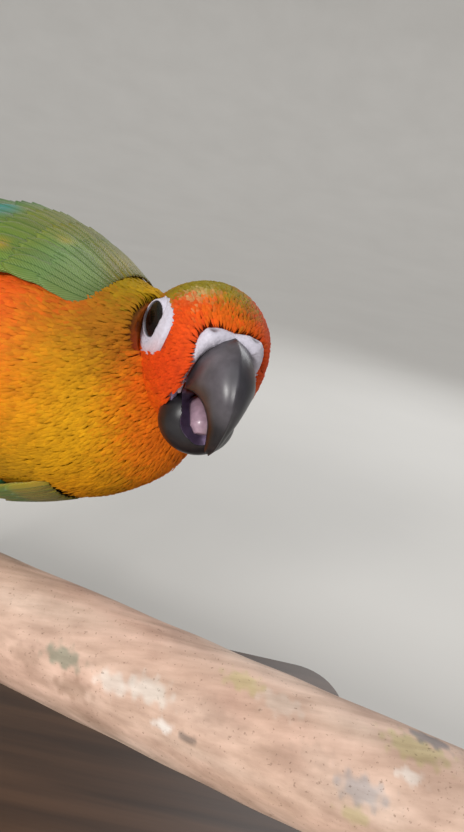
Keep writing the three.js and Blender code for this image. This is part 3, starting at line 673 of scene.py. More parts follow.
def ring_level(side, places):
    """How far out from an eye's middle the head's skin lies at each place round it."""
    _, out, _, _ = eye_frame(side)
    hits = [HEAD_TREE.ray_cast(Vector((place + out * 20) * MM), Vector(-out))[0] for place in places]
    return np.array([(np.array(hit) / MM - place) @ out for hit, place in zip(hits, places)])


def bare_eye(points):
    """True where a point of the head lies in the bare ring of an eye."""
    result = np.zeros(len(points), bool)
    for side in (-1, 1):
        centre, out, ahead, up = eye_frame(side)
        away = points - centre
        x, y, z = away @ ahead, away @ up, away @ out
        x = x - EYE["lean"] * np.maximum(0, z - EYE["level"])
        result |= (np.hypot(x, y) < ring_reach(np.arctan2(y, x))) & (z > 0) & (z < 9)
    return result


def skull_s(forward):
    """How far along the head's stations a place lies that is this far forward."""
    return np.interp(forward, [row[0] for row in SKULL], np.arange(len(SKULL)))


def share_beside(st, left, up):
    """How far places lie out from their stations, as a share of the way to the skin."""
    high = up / np.where(up > 0, st[:, 6], st[:, 7])
    wide = left / np.where(left > 0, st[:, 8], st[:, 9])
    return np.hypot(high, wide)


def beside(points, rows):
    """The row nearest to each point, its number, and how far ahead, left and up of it the point is."""
    nearest = ((points[:, None] - rows[None, :, :3]) ** 2).sum(-1).argmin(1)
    st = rows[nearest]
    away = points - st[:, :3]
    return nearest, st, [(away * axis).sum(1) for axis in axes(st[:, 3], st[:, 4], st[:, 5])]


def share_of_head(points):
    """How far points lie from the skull's line, as a share of the way to its skin: under 1 inside it."""
    forward, left, up = head_local(points).T
    share = share_beside(station(HEAD, skull_s(forward)), left - SKULL_SHIFT, up + SKULL_DROP)
    return np.where((forward > SKULL[0][0]) & (forward < SKULL[-1][0]), share, 9)


def share_of_neck(points):
    """The same for the neck and the front of the body."""
    _, st, (ahead, left, up) = beside(points, station(BODY, np.linspace(8, NECK_END_S, 80)))
    return np.where(np.abs(ahead) < 1, share_beside(st, left, up), 9)


CERE_SIDE = [(-5.6, 7, -12), (-3.9, 7.1, -8), (-2.1, 6.2, -3.6), (-0.9, 4.4, 0)]
CERE_MIDDLE = (-0.5, 0, 0.6)
CERE_RADII = (0.45, 0.6, 0.9, 2.1, 1.4, 2.1, 0.9, 0.6, 0.45)
CERE_MARGIN = 0.3
CERE_LIFT = 0.5
NOSTRIL = (0.3, 4.3, 1.7)


def cere_path():
    right = [head_point(f + CERE_LIFT, -l, u) for f, l, u in CERE_SIDE]
    left = [head_point(f + CERE_LIFT, l, u) for f, l, u in CERE_SIDE][::-1]
    return np.array([*right, head_point(*CERE_MIDDLE), *left])


def share_of_cere(points):
    """How far points lie from the cere's middle line, in its radii there."""
    rings = tube_rings(cere_path(), CERE_RADII, 8, 60)
    path = rings.mean(1)
    radius = np.linalg.norm(rings - path[:, None], axis=2).mean(1)
    distance = np.linalg.norm(points[:, None] - path[None], axis=2)
    return (distance / (radius + CERE_MARGIN)[None]).min(1)


def bare_bill(points):
    """True where a point of the head lies under the cere, near the bill or in the mouth."""
    local = head_local(points)
    bare = (share_of_cere(points) < 1) | (share_of_bill(points) < 1)
    for centre, size in [*MOUTH, (LOWER_BILL["centre"], LOWER_BILL["size"])]:
        bare |= (((local - centre) / size) ** 2).sum(1) < 0.96
    return bare


# Small feathers

def leaf():
    """A small round-tipped feather: points as along, across and thickness, and its triangles."""
    ring = [(-1, 0), (0, 1), (1, 0), (0, -1)]
    points = [(0, 0, 0)]
    for along, width in ((0.34, 0.85), (0.66, 1.0), (0.9, 0.62)):
        points += [(along, across * width, rise) for across, rise in ring]
    points.append((1, 0, 0))
    faces = []
    for k in range(4):
        n = (k + 1) % 4
        faces.append((0, 1 + n, 1 + k))
        for start in (1, 5):
            a, b = start + k, start + n
            faces += [(a, b, a + 4), (b, b + 4, a + 4)]
        faces.append((9 + k, 9 + n, 13))
    return np.array(points, float), np.array(faces)


def coat_roots(rows, start, end, spacing, rng):
    """Roots in rows round a loft, each row set half a step from the last, with some jitter."""
    fine = np.linspace(start, end, 400)
    angles = np.linspace(0, 2 * np.pi, 97)
    grid = skin_point(rows, fine[:, None], angles[None])
    run = np.concatenate([[0], np.cumsum(np.linalg.norm(np.diff(grid, axis=0), axis=2).mean(1))])
    s_all, a_all = [], []
    for k, distance in enumerate(np.arange(0, run[-1], spacing)):
        s = np.interp(distance, run, fine)
        ring = skin_point(rows, np.full(97, s), angles)
        around = np.concatenate([[0], np.cumsum(np.linalg.norm(np.diff(ring, axis=0), axis=1))])
        count = max(6, int(around[-1] / spacing))
        place = (np.arange(count) + 0.5 * (k % 2) + rng.uniform(-0.3, 0.3, count)) / count * around[-1]
        a_all.append(np.interp(place % around[-1], around, angles))
        drift = rng.uniform(-0.35, 0.35, count) * spacing
        s_all.append(np.interp(distance + drift, run, fine))
    return np.concatenate(s_all), np.concatenate(a_all)


# How feathers of a coat vary: their turn in radians, sizes, lifts and tones as shares, and how many mm
# off their roots the colour is looked up
TUFT_TURN = 0.15
TUFT_SIZES = (0.8, 1.2)
TUFT_LIFTS = (0.9, 1.08)
TUFT_TONES = (0.9, 1.07)
TUFT_STRAY = 1.1
# The shade at a feather's root, where others lie over it
ROOT_SHADE = 0.82


def tufts(at, back, out, size, depth, bend, spots, patch, marks, rng):
    """Small feathers that lie back over a skin: points, triangles, bake map, tint and normals.

    Size is the length of each, then the width and thickness of all."""
    length, width, thick = size
    count = len(at)
    template, triangles = leaf()
    run, aside, rise = template.T
    turn = rng.normal(0, TUFT_TURN, count)[:, None]
    back = back * np.cos(turn) + np.cross(out, back) * np.sin(turn)
    side = np.cross(out, back)
    reach = length * rng.uniform(*TUFT_SIZES, count)
    wide = width * rng.uniform(*TUFT_SIZES, count)
    along = run[None] * reach[:, None]
    across = aside[None] * wide[:, None] / 2
    swell = (depth * rng.uniform(*TUFT_LIFTS, count))[:, None] * np.sin(np.clip(run[None] * 2.4, 0, 1.5))
    lift = swell + rise[None] * thick - along ** 2 / (2 * bend)
    flat = at[:, None] + along[..., None] * back[:, None] + across[..., None] * side[:, None]
    points = (flat + lift[..., None] * out[:, None]).reshape(-1, 3)
    faces = (triangles[None] + (np.arange(count) * len(template))[:, None, None]).reshape(-1, 3)
    uv = spots[:, None] + patch * np.stack([aside, 2 * run - 1], 1)[None]
    tone = marked(at + rng.normal(0, TUFT_STRAY, at.shape), marks) * rng.uniform(*TUFT_TONES, count)[:, None]
    colour = tone[:, None] * (ROOT_SHADE + (1 - ROOT_SHADE) * run ** 0.5)[None, :, None]
    facing = out[:, None] + 0.35 * aside[None, :, None] * side[:, None]
    facing = facing + (0.3 * run - 0.1)[None, :, None] * back[:, None]
    layers = (values.reshape(-1, values.shape[-1]) for values in (uv, colour, unit(facing)))
    return (points, facing_out(points, faces), *layers)


def tuft_piece(name, made, material):
    points, faces, uv, colour, facing = made
    mesh = new_mesh(name, points, faces, bake_uv=uv, colour=colour)
    mesh.normals_split_custom_set_from_vertices(facing.tolist())
    piece(name, mesh, material, "plumage")


def chart(start, s, last, angle):
    """A place on the bake map from one along a loft and an angle round it."""
    across = start + 0.46 * np.asarray(s) / last
    return np.stack([across, 0.03 + 0.94 * (angle % (2 * np.pi)) / (2 * np.pi)], -1)


def body_chart(s, angle):
    return chart(0.02, s, NECK_END_S, angle)


def head_chart(s, angle):
    return chart(0.52, s, HEAD_END_S, angle)


WING_CHART = {"length": 150, "low": -50, "span": 130}


def wing_chart(distance, degrees):
    along = distance / WING_CHART["length"]
    return 0.05 + 0.9 * np.stack([along, (degrees - WING_CHART["low"]) / WING_CHART["span"]], -1)


# Wings: places behind the bend of the wing, as in the solids

LEFT_RISE = 4
LEFT_BACK = 9
# Millimetres to one step of s ahead of the bend
BEND_STEP = 9


def arc_table():
    s = np.arange(WRIST_S, -1e-6, -0.05)
    at = station(BODY, s)[:, :3]
    return np.concatenate([[0], np.cumsum(np.linalg.norm(np.diff(at, axis=0), axis=1))]), s


ARC_RUN, ARC_S = arc_table()


def wing_place(side, distance, degrees):
    distance = np.asarray(distance, float) + (LEFT_BACK if side < 0 else 0)
    s = np.where(distance <= 0, WRIST_S - distance / BEND_STEP, np.interp(distance, ARC_RUN, ARC_S))
    degrees = np.asarray(degrees, float)
    angle = np.radians(degrees) if side > 0 else np.pi - np.radians(degrees + LEFT_RISE)
    return s, angle


def wing_point(side, distance, degrees, lift):
    s, angle = wing_place(side, distance, degrees)
    return skin_point(BODY, s, angle, lift)


# Rows of wing feathers, from the wing's tip to its bend: count, root and tip of the lowest and of the
# highest feather as (distance, degrees), widths, lifts at root and tip, and colours at base, edge and tip
WING_ROWS = [
    (10, ((40, -20), (50, 8)), ((149, 38), (104, 66)), (8.5, 11), (1.0, 1.3), ("green", "blue", "ink")),
    (9, ((38, -12), (54, 46)), ((104, 16), (90, 62)), (10, 11), (1.2, 2.4), ("green", "leaf", "blue")),
    (4, ((36, 50), (28, 60)), ((90, 62), (72, 74)), (10, 10), (1.5, 3.3), ("leaf", "olive", "green")),
    (12, ((26, -26), (40, 48)), ((68, -14), (62, 56)), (8.5, 8.5), (1.8, 3.5), ("green", "leaf", "teal")),
    (4, ((8, -43), (14, -32)), ((42, -42), (34, -28)), (5, 5.5), (2.0, 3.4), ("green", "blue", "teal")),
    (13, ((16, -32), (28, 50)), ((46, -30), (43, 56)), (7.5, 7.5), (2.2, 4.6), ("green", "leaf", "green")),
    (14, ((10, -35), (20, 50)), ((35, -34), (33, 54)), (7, 7), (2.0, 5.1), ("leaf", "olive", "green")),
    (15, ((4, -37), (12, 47)), ((26, -38), (24, 52)), (6.2, 6.2), (1.8, 5.4), ("green", "leaf", "green")),
    (17, ((-1, -40), (6, 43)), ((18, -42), (17, 48)), (5.6, 5.6), (1.2, 5.2), ("leaf", "olive", "green")),
    (19, ((-5, -40), (2, 40)), ((11.5, -42), (11, 43)), (5, 5), (0.8, 4.4), ("leaf", "olive", "leaf")),
    (22, ((-9, -41), (-2, 38)), ((4, -43), (6, 41)), (4.2, 4.2), (0.5, 3.4), ("leaf", "olive", "olive")),
    (24, ((-12, -41), (-6, 34)), ((-2, -43), (2, 38)), (3.6, 3.6), (0.3, 2.2), ("olive", "olive", "leaf")),
]
VANE_STEPS = 12
VANE_COLUMNS = 7
# How vanes vary: their width, their frayed edges and their tones, as shares
VANE_STRAY = 0.03
VANE_FRAY = (-0.12, 0.04)
VANE_TONES = (0.85, 1.12)
SHAFT_RIDGE = 0.14


def vane_shape(t):
    tip = np.sqrt(np.clip(1 - 0.96 * (np.clip(t - 0.72, 0, 1) / 0.28) ** 2, 0.02, 1))
    return np.minimum(1, 0.4 + 2.2 * t) * tip


def vane(centre, across, out, width, length, tones, look, rng, thick=0.16, camber=0.09):
    """One feather from its shaft's places, with a row of directions across and out along it.

    Its points, triangles, bake map, tint and places across and along the vane."""
    t = np.linspace(0, 1, len(centre))
    v = np.linspace(-1, 1, VANE_COLUMNS)
    half = width / 2 * vane_shape(t) * (1 + VANE_STRAY * rng.standard_normal(len(t)))
    frayed = np.where(np.abs(v)[None] > 0.9, 1 + rng.uniform(*VANE_FRAY, (len(t), VANE_COLUMNS)), 1)
    side = half[:, None] * v[None] * frayed
    crown = width * camber * (1 - v[None] ** 2) * np.ones_like(side)
    ridge = SHAFT_RIDGE * np.exp(-(v[None] / 0.12) ** 2) * (1 - 0.7 * t[:, None])
    top = centre[:, None] + side[..., None] * across[:, None] + (crown + ridge)[..., None] * out[:, None]
    depth = thick * (1 - 0.5 * v[None] ** 2) * np.ones_like(side)
    points, faces = sheet_mesh(top, top - depth[..., None] * out[:, None])
    base, edge, tip = (linear(name) for name in tones)
    rim = smooth(0.45, 1.0, np.abs(v))[None, :, None]
    end = smooth(0.7, 1.0, t)[:, None, None]
    colour = (base * (1 - rim) + edge * rim) * (1 - end) + tip * end
    if look is not None:
        seen, pull = look(top.reshape(-1, 3))
        pull = pull.reshape(*side.shape, 1)
        colour = colour * (1 - pull) + seen.reshape(*side.shape, 3) * pull
    colour = colour * rng.uniform(*VANE_TONES)
    # Painted shade: each vane darkens towards its root, where the feathers over it lie
    colour = colour * (0.75 + 0.25 * smooth(0.0, 0.5, t))[:, None, None] * np.ones((1, VANE_COLUMNS, 1))
    run = np.stack([side, np.broadcast_to((t * length)[:, None], side.shape), 0 * side], -1)
    flat = np.stack(np.broadcast_arrays(v[None], 2 * t[:, None] - 1), -1)
    return points, faces, both_sides(flat), both_sides(colour), both_sides(run)


# Marks on the wings: the sage marks are painted sheen where the bends of the wings catch the light; the olive
# marks at the right end are partly the feathers' own olive and partly painted shade
WING_MARKS = [
    (60, 266, 4.6, 3.0, "painted_sheen_sage"), (88, 262, 3.6, 3.0, "painted_sheen_sage"), (78, 275, 3.6, 2.2, "painted_sheen_sage"),
    (45, 278, 3.0, 1.6, "painted_sheen_sage"), (118, 240, 3.4, 2.4, "olive"), (128, 268, 3.4, 2.6, "olive"),
    (118, 285, 3.0, 2.4, "olive"), (100, 232, 4, 1.8, "moss"), (65, 236, 0.8, 2, "gold"),
    (74, 238, 0.7, 1.4, "gold"), (1, 243, 0.9, 2, "gold"), (30, 236, 3.0, 2.0, "leaf"),
    (3, 213, 1.8, 3, "teal"), (22, 225, 3.5, 2.4, "leaf"), (45, 222, 4, 2.0, "moss"),
    (75, 222, 4, 2.0, "moss"), (15, 255, 4, 2.0, "leaf"), (30, 270, 3.4, 1.8, "leaf"),
    (95, 283, 2.4, 1.6, "leaf"), (60, 285, 2.4, 1.6, "leaf"), (3, 466, 1.6, 4, "gold"),
    (32, 492, 1.4, 4, "gold"), (45, 484, 3.0, 2.6, "painted_sheen_sage"), (15, 480, 3.5, 2, "leaf"),
]
WING_MARK_PULL = 0.85


# The grid that marks of a wing are cast on: first and last place and count, and how high it lies
MARK_DISTANCES = (-14, 120, 56)
MARK_DEGREES = (-54, 66, 44)
MARK_LIFT = 4.0


def wing_marks(side):
    """A function that gives the seen colours of one wing and how strongly they hold at each point."""
    distance, degrees = np.meshgrid(np.linspace(*MARK_DISTANCES), np.linspace(*MARK_DEGREES), indexing="ij")
    top = wing_point(side, distance, degrees, np.full(distance.shape, MARK_LIFT))
    marks = marks_on(search_tree(*sheet_mesh(top, top - 0.1)), WING_MARKS, [], BODY)

    def look(at):
        weight = mark_weights(at, marks)
        total = weight.sum(1, keepdims=True)
        return weight @ marks[3] / (total + 1e-9), WING_MARK_PULL * np.clip(total[:, 0] * 1.2, 0, 1)

    return look


def between(pair, share):
    """What lies at a share of the way from the first of a pair to the second."""
    first, second = (np.asarray(value, float) for value in pair)
    return first + (second - first) * share


FEATHER_TILT = 8


def wing_feather(side, root, tip, width, lifts, tones, look, rng):
    u = np.linspace(0, 1, VANE_STEPS)
    distance = root[0] + (tip[0] - root[0]) * u * rng.uniform(0.96, 1.03)
    degrees = root[1] + (tip[1] - root[1]) * u + rng.normal(0, 0.6)
    lift = between(lifts, u)
    centre = wing_point(side, distance, degrees, lift)
    across = unit(wing_point(side, distance, degrees + 1, lift) - centre)
    away = wing_point(side, distance, degrees, lift + 1) - centre
    out = unit(away - across * (away * across).sum(-1, keepdims=True))
    tilt = np.radians(FEATHER_TILT + rng.normal(0, 1))
    turned = across * np.cos(tilt) + out * np.sin(tilt)
    normal = out * np.cos(tilt) - across * np.sin(tilt)
    length = np.linalg.norm(centre[-1] - centre[0])
    part = vane(centre, turned, normal, width, length, tones, look, rng)
    return (*part[:2], wing_chart(distance[0], degrees[0]) + PATCH * part[2], *part[3:])


def wing_feathers(side, rng):
    look = wing_marks(side)
    parts = []
    for count, root, tip, widths, lifts, tones in WING_ROWS:
        for share in np.arange(count) / (count - 1):
            ends = between(root, share), between(tip, share)
            parts.append(wing_feather(side, *ends, between(widths, share), lifts, tones, look, rng))
    return join(parts)


# The arm beneath the small coverts, which the rows of feathers grow from
ARM = {"length": 70, "thick": 3.4, "low": -42, "low_end": 0, "high": 60, "high_end": 56}


def wing_arm(side):
    t, u = np.meshgrid(np.linspace(0, 1, 40), np.linspace(0, 1, 32), indexing="ij")
    distance = 1.5 + (ARM["length"] - 1.5) * t
    low = ARM["low"] + (ARM["low_end"] - ARM["low"]) * t ** 1.5
    high = ARM["high"] + (ARM["high_end"] - ARM["high"]) * t
    degrees = low * (1 - u) + high * u
    hump = np.sqrt(np.minimum(1, 8 * t)) * (1 - t)
    thick = 0.5 + ARM["thick"] * hump * np.sin(np.pi * u) ** 0.6
    top = wing_point(side, distance, degrees, 0.2 + thick)
    under = wing_point(side, distance, degrees, np.full(t.shape, -0.4))
    points, faces, colour = in_one_tone(sheet_mesh(top, under), linear("deep_green"))
    return points, faces, both_sides(wing_chart(distance, degrees)), colour, np.full((len(points), 3), 2.0)


# What a wing covers: its low and high edges in degrees at distances behind its bend, how far back it
# covers the body, and the strip ahead of the bend
COVER_LOW = ((4, 40, 100), (-32, -24, 24))
COVER_HIGH = ((4, 90, 130), (40, 54, 50))
COVER_BACK = 110
COVER_AHEAD = {"reach": 6, "low": -38, "high": 30}


def under_wing(side, s, angle):
    """True for roots on the body that a wing covers."""
    distance = np.interp(-s, -ARC_S, ARC_RUN) - (LEFT_BACK if side < 0 else 0)
    turn = angle if side > 0 else np.pi - angle
    degrees = (np.degrees(turn) + 180) % 360 - 180 - (LEFT_RISE if side < 0 else 0)
    ahead = (s >= WRIST_S) & ((s - WRIST_S) * BEND_STEP < COVER_AHEAD["reach"])
    ahead &= (degrees > COVER_AHEAD["low"]) & (degrees < COVER_AHEAD["high"])
    behind = (s < WRIST_S) & (distance < COVER_BACK)
    behind &= (degrees > np.interp(distance, *COVER_LOW)) & (degrees < np.interp(distance, *COVER_HIGH))
    return ahead | behind


# Tail

def tail_axes():
    return axes(BODY[RUMP_S][3], TAIL["pitch"], TAIL["roll"])


def tail_feather(root, length, splay, width, tilt, sag, tones, rng):
    forward, left, up = tail_axes()
    u = np.linspace(0, 1, VANE_STEPS)
    behind, right, back = root
    run = behind + length * u
    aside = right + length * u * np.tan(np.radians(splay))
    high = back - sag * u + rng.normal(0, 0.12)
    centre = BODY[RUMP_S][:3] - forward * run[:, None] + up * aside[:, None] + left * high[:, None]
    tilt = np.radians(tilt)
    across = np.tile(up * np.cos(tilt) - left * np.sin(tilt), (VANE_STEPS, 1))
    out = np.tile(left * np.cos(tilt) + up * np.sin(tilt), (VANE_STEPS, 1))
    part = vane(centre, across, out, width, length, tones, None, rng, thick=0.25)
    spot = np.array([0.5 + right / 60, 0.06 + 0.25 * (behind + length) / 140])
    return (*part[:2], spot + PATCH * part[2], *part[3:])


# Coverts over and under the tail: count, rise over its middle, length in the middle and at the side
TAIL_COVERTS = [(9, 4.0, (40, 26)), (9, 4.8, (26, 18)), (7, -3.6, (46, 32)), (7, -4.6, (30, 22))]


def tail_feathers(rng):
    parts = []
    for k, length in enumerate(TAIL["lengths"]):
        tones = ("moss", "leaf", "blue") if k < 3 else ("olive", "leaf", "green")
        for side in (-1, 1):
            root = (2, side * (1.6 + 1.25 * k), 1.9 - 0.75 * k)
            splay = side * (0.7 + 1.5 * k)
            tilt = side * TAIL["tilt"]
            parts.append(tail_feather(root, length - 4, splay, TAIL["width"], tilt, 2, tones, rng))
    for layer, (count, rise, reach) in enumerate(TAIL_COVERTS):
        tones = ("olive", "gold", "leaf") if rise > 0 else ("olive", "leaf", "moss")
        for i in range(count):
            u = 2 * i / (count - 1) - 1
            root = (-3 - 2 * (layer % 2), u * 7.5, rise * (1 - 0.3 * u * u))
            length = reach[0] + (reach[1] - reach[0]) * abs(u)
            tilt = u * 24 * np.sign(rise)
            parts.append(tail_feather(root, length, u * 5, 7.5, tilt, rise * 0.4, tones, rng))
    return join(parts)


# Thighs and feet

SIDES = [
    {"name": "right", "side": 1, "along": -84, "hip": (5.5, -66)},
    {"name": "left", "side": -1, "along": -106, "hip": (4.9, -110)},
]
# Each toe's sweep round the perch in degrees, its place at the end along it, and its side of the ankle
TOES = [(42, 3.6, 1), (60, 4.6, -1), (82, -3.4, -1), (74, -4.4, 1)]
TOE_RADII = (2.2, 2.1, 1.9, 1.9, 1.4)
SHANK_RADII = (2.8, 2.2, 2.7)
CLAW_RADII = (1.35, 1.15, 0.8, 0.2)
FOOT = {"stance": 30, "clear": 0.35, "toe": 2.1, "ankle_out": 11, "ankle_back": 6}
CLAW = {"sweep": 30, "radius": 1.35, "tip": 0.3}
FOOT_TONE = (0.17, 0.14, 0.135)
CLAW_TONE = (0.03, 0.026, 0.024)
THIGH_DEPTH = 1.2
THIGH_SIDES = 48
PERCH_FORWARD, PERCH_LEFT, PERCH_UP = axes(PERCH["yaw"], 0, 0)


def perch_point(along, degrees, radius):
    turn = np.radians(np.asarray(degrees, float))[..., None]
    along, radius = (np.asarray(v, float)[..., None] for v in (along, radius))
    out = PERCH_UP * np.cos(turn) + PERCH_LEFT * np.sin(turn)
    return PERCH["at"] + PERCH_FORWARD * along + out * radius


def ankle(leg):
    along = leg["along"] - FOOT["ankle_back"]
    return perch_point(along, FOOT["stance"] + 4, PERCH["radius"] + FOOT["ankle_out"])


def toe_path(leg, toe):
    sweep, splay, behind = toe
    t = np.linspace(0, 1, 5)
    reach = PERCH["radius"] + FOOT["clear"] + FOOT["toe"] + 0.6 * np.sin(t * np.pi)
    along = leg["along"] + leg["side"] * splay * t ** 0.7
    return perch_point(along, FOOT["stance"] + behind * t * sweep, reach)


def foot_mesh(leg):
    tubes = [tube_rings(toe_path(leg, toe), TOE_RADII, 18, 64, (11, 0.13)) for toe in TOES]
    sole = perch_point(leg["along"], FOOT["stance"], PERCH["radius"] + FOOT["clear"] + FOOT["toe"] + 0.6)
    end = ankle(leg)
    tubes.append(tube_rings((sole, (sole + end) / 2, end), SHANK_RADII, 20, 36, (5, 0.1)))
    return join([stack_mesh(tube) for tube in tubes])


def claw_mesh(leg, toe):
    sweep, splay, behind = toe
    end = FOOT["stance"] + behind * (sweep + 1.5)
    t = np.linspace(0, 1, 4)
    radius = CLAW["radius"] + (CLAW["tip"] - CLAW["radius"]) * t
    reach = PERCH["radius"] + FOOT["clear"] + radius + 1.6 * np.sin(t * np.pi)
    path = perch_point(leg["along"] + leg["side"] * splay, end + behind * t * CLAW["sweep"], reach)
    return stack_mesh(tube_rings(path, CLAW_RADII, 14, 20))


def thigh_rings(leg, shrink, sides, steps):
    s, degrees = leg["hip"]
    root = skin_point(BODY, np.array(s), np.radians(float(degrees)), -9.0)
    end = ankle(leg)
    path = (root, (root + end) / 2, end + (root - end) * 0.12)
    return tube_rings(path, [r - shrink for r in (10, 7.6, 3.6)], sides, steps)


def thigh_coat(leg, marks, rng):
    """Small feathers down a thigh."""
    rings = thigh_rings(leg, THIGH_DEPTH, THIGH_SIDES, 30)
    middle = rings.mean(1)
    down = unit(np.gradient(middle, axis=0))
    at = rings[3:-1].reshape(-1, 3)
    at = at + rng.normal(0, 0.25, at.shape)
    out = unit(at - np.repeat(middle[3:-1], THIGH_SIDES, axis=0))
    back = unit(np.repeat(down[3:-1], THIGH_SIDES, axis=0))
    back = unit(back - out * (back * out).sum(1, keepdims=True))
    row, column = np.divmod(np.arange(len(at)), THIGH_SIDES)
    spots = np.stack([0.9 + 0.0028 * row, 0.002 + 0.0005 * column], 1)
    return tufts(at, back, out, (3.6, 0.8, 0.1), THIGH_DEPTH, 16, spots, 0.0004, marks, rng)


# The skin: body, head and thighs as one surface, opened for the eyes and the mouth

SKIN_VOXEL = 0.9
# The skin carries the plumage's colour darkened by this share: painted shade between the feathers
SKIN_SHADE = 0.6
MAP_STEPS = 120


def cut(obj, points, faces):
    """Takes a closed mesh out of an object."""
    tool = new_object("tool", new_mesh("tool", points, faces))
    modifier = obj.modifiers.new("cut", "BOOLEAN")
    modifier.operation = "DIFFERENCE"
    modifier.solver = "EXACT"
    modifier.object = tool
    apply_modifiers(obj)
    bpy.data.objects.remove(tool)


def apply_modifiers(obj):
    done = bpy.data.meshes.new_from_object(obj.evaluated_get(bpy.context.evaluated_depsgraph_get()))
    obj.modifiers.clear()
    old = obj.data
    obj.data = done
    bpy.data.meshes.remove(old)


def ball_mesh(centre, size, sides=40):
    """An ellipsoid along the head's directions."""
    polar, around = round_grid(0.04, np.pi - 0.04, sides // 2, sides)
    local = np.stack([np.sin(polar) * np.cos(around), np.sin(polar) * np.sin(around), np.cos(polar)], -1)
    local = local * np.asarray(size)
    return stack_mesh(centre + local @ np.stack([HEAD_FORWARD, HEAD_LEFT, HEAD_UP]))


def loft_mesh(rows, start, end, depth, steps, sides):
    s, angle = round_grid(start, end, steps, sides)
    return stack_mesh(skin_point(rows, s, angle, -depth))


def eye_room(side):
    """The space over the bare ring of an eye, which the neck's skin would otherwise reach into."""
    centre, out, ahead, up = eye_frame(side)
    around = full_turn(48)
    flat = (ring_reach(around) + 0.5)[:, None] * spokes(around, ahead, up)
    level = ring_level(side, centre + flat)
    rings = [centre + flat + out * (level + rise)[:, None] + ahead * EYE["lean"] * max(0, rise)
             for rise in (-1.2, 0, 3, 6)]
    return stack_mesh(np.array(rings))


def mouth_hollows():
    """Places and sizes of the ellipsoids that open the mouth."""
    return [*MOUTH, (LOWER_BILL["hollow"], LOWER_BILL["hollow_size"])]


def skin_mesh():
    parts = [
        loft_mesh(BODY, RUMP_S, NECK_END_S, BODY_DEPTH, 90, 72),
        loft_mesh(HEAD, 0, HEAD_END_S, HEAD_DEPTH, 60, 64),
        *(stack_mesh(thigh_rings(leg, THIGH_DEPTH, 24, 16)) for leg in SIDES),
    ]
    obj = new_object("skin_draft", new_mesh("skin", *join(parts)))
    remesh = obj.modifiers.new("one", "REMESH")
    remesh.mode = "VOXEL"
    remesh.voxel_size = SKIN_VOXEL * MM
    apply_modifiers(obj)
    for side in (-1, 1):
        cut(obj, *ball_mesh(eye_frame(side)[0], (EYE["radius"] + 0.1,) * 3))
        cut(obj, *eye_room(side))
    for centre, size in mouth_hollows():
        cut(obj, *ball_mesh(head_point(*centre), size))
    done = obj.data
    bpy.data.objects.remove(obj)
    points = mesh_points(done)
    near = np.linalg.norm(points - head_point(0, 0, -5), axis=1) < MOAT_REACH
    sunk = np.zeros(len(points))
    share = np.minimum(share_of_bill(points[near]), 0.75 * share_of_cere(points[near]))
    sunk[near] = MOAT_DEPTH * (1 - smooth(*MOAT_EDGE, share))
    points -= sunk[:, None] * HEAD_FORWARD
    done.vertices.foreach_set("co", (points * MM).astype(np.float32).ravel())
    return done


def mesh_points(mesh):
    points = np.empty(len(mesh.vertices) * 3, np.float32)
    mesh.vertices.foreach_get("co", points)
    return points.reshape(-1, 3).astype(float) / MM


def skin_map(mesh, points):
    """The bake map of the skin: each corner's place along and round the body or the head."""
    nearest, _, (_, left, up) = beside(points, station(BODY, np.linspace(RUMP_S, NECK_END_S, MAP_STEPS)))
    s = RUMP_S + (NECK_END_S - RUMP_S) * nearest / (MAP_STEPS - 1)
    body_uv = body_chart(s, np.arctan2(left, up))
    forward, left, up = head_local(points).T
    on_head = (forward > -37) & (np.hypot(left, up + 4) < 20)
    head_uv = head_chart(skull_s(forward), np.arctan2(left, up + SKULL_DROP))
    uv = np.where(on_head[:, None], head_uv, body_uv)
    corners = np.empty(len(mesh.loops), np.int32)
    mesh.loops.foreach_get("vertex_index", corners)
    per_corner = uv[corners]
    starts = np.empty(len(mesh.polygons), np.int32)
    mesh.polygons.foreach_get("loop_start", starts)
    owner = np.repeat(np.arange(len(starts)), np.diff(np.append(starts, len(corners))))
    high = np.full(len(starts), -1.0)
    np.maximum.at(high, owner, per_corner[:, 1])
    wrapped = (high[owner] - per_corner[:, 1]) > 0.5
    per_corner[wrapped, 1] += 0.94
    layer = mesh.uv_layers.new(name="OFBake")
    layer.data.foreach_set("uv", per_corner.astype(np.float32).ravel())


def in_the_mouth(points):
    """How surely each point of the skin lies on the lining of the mouth, from 0 to 1."""
    local = head_local(points)
    result = np.zeros(len(points))
    for centre, size in mouth_hollows():
        result = np.maximum(result, 1 - smooth(1.0, 1.12, np.linalg.norm((local - centre) / size, axis=1)))
    return result


# Where the head's marks give way to the body's: forward, and out from the head's middle
HEAD_BACK = (-36, -30)
HEAD_OUT = (16, 19)


def on_the_head(points):
    """How surely each point of the skin belongs to the head, from 0 to 1."""
    forward, left, up = head_local(points).T
    return smooth(*HEAD_BACK, forward) * (1 - smooth(*HEAD_OUT, np.hypot(left, up + 4)))


# Eyes

EYE_TONES = {"iris": (0.009, 0.008, 0.008), "rim": (0.012, 0.01, 0.01), "pupil": (0.002, 0.002, 0.002)}
# Where the pupil ends and the iris' rim begins, in degrees from the pupil's middle
PUPIL_EDGE = (21, 24)
IRIS_EDGE = (38, 46)


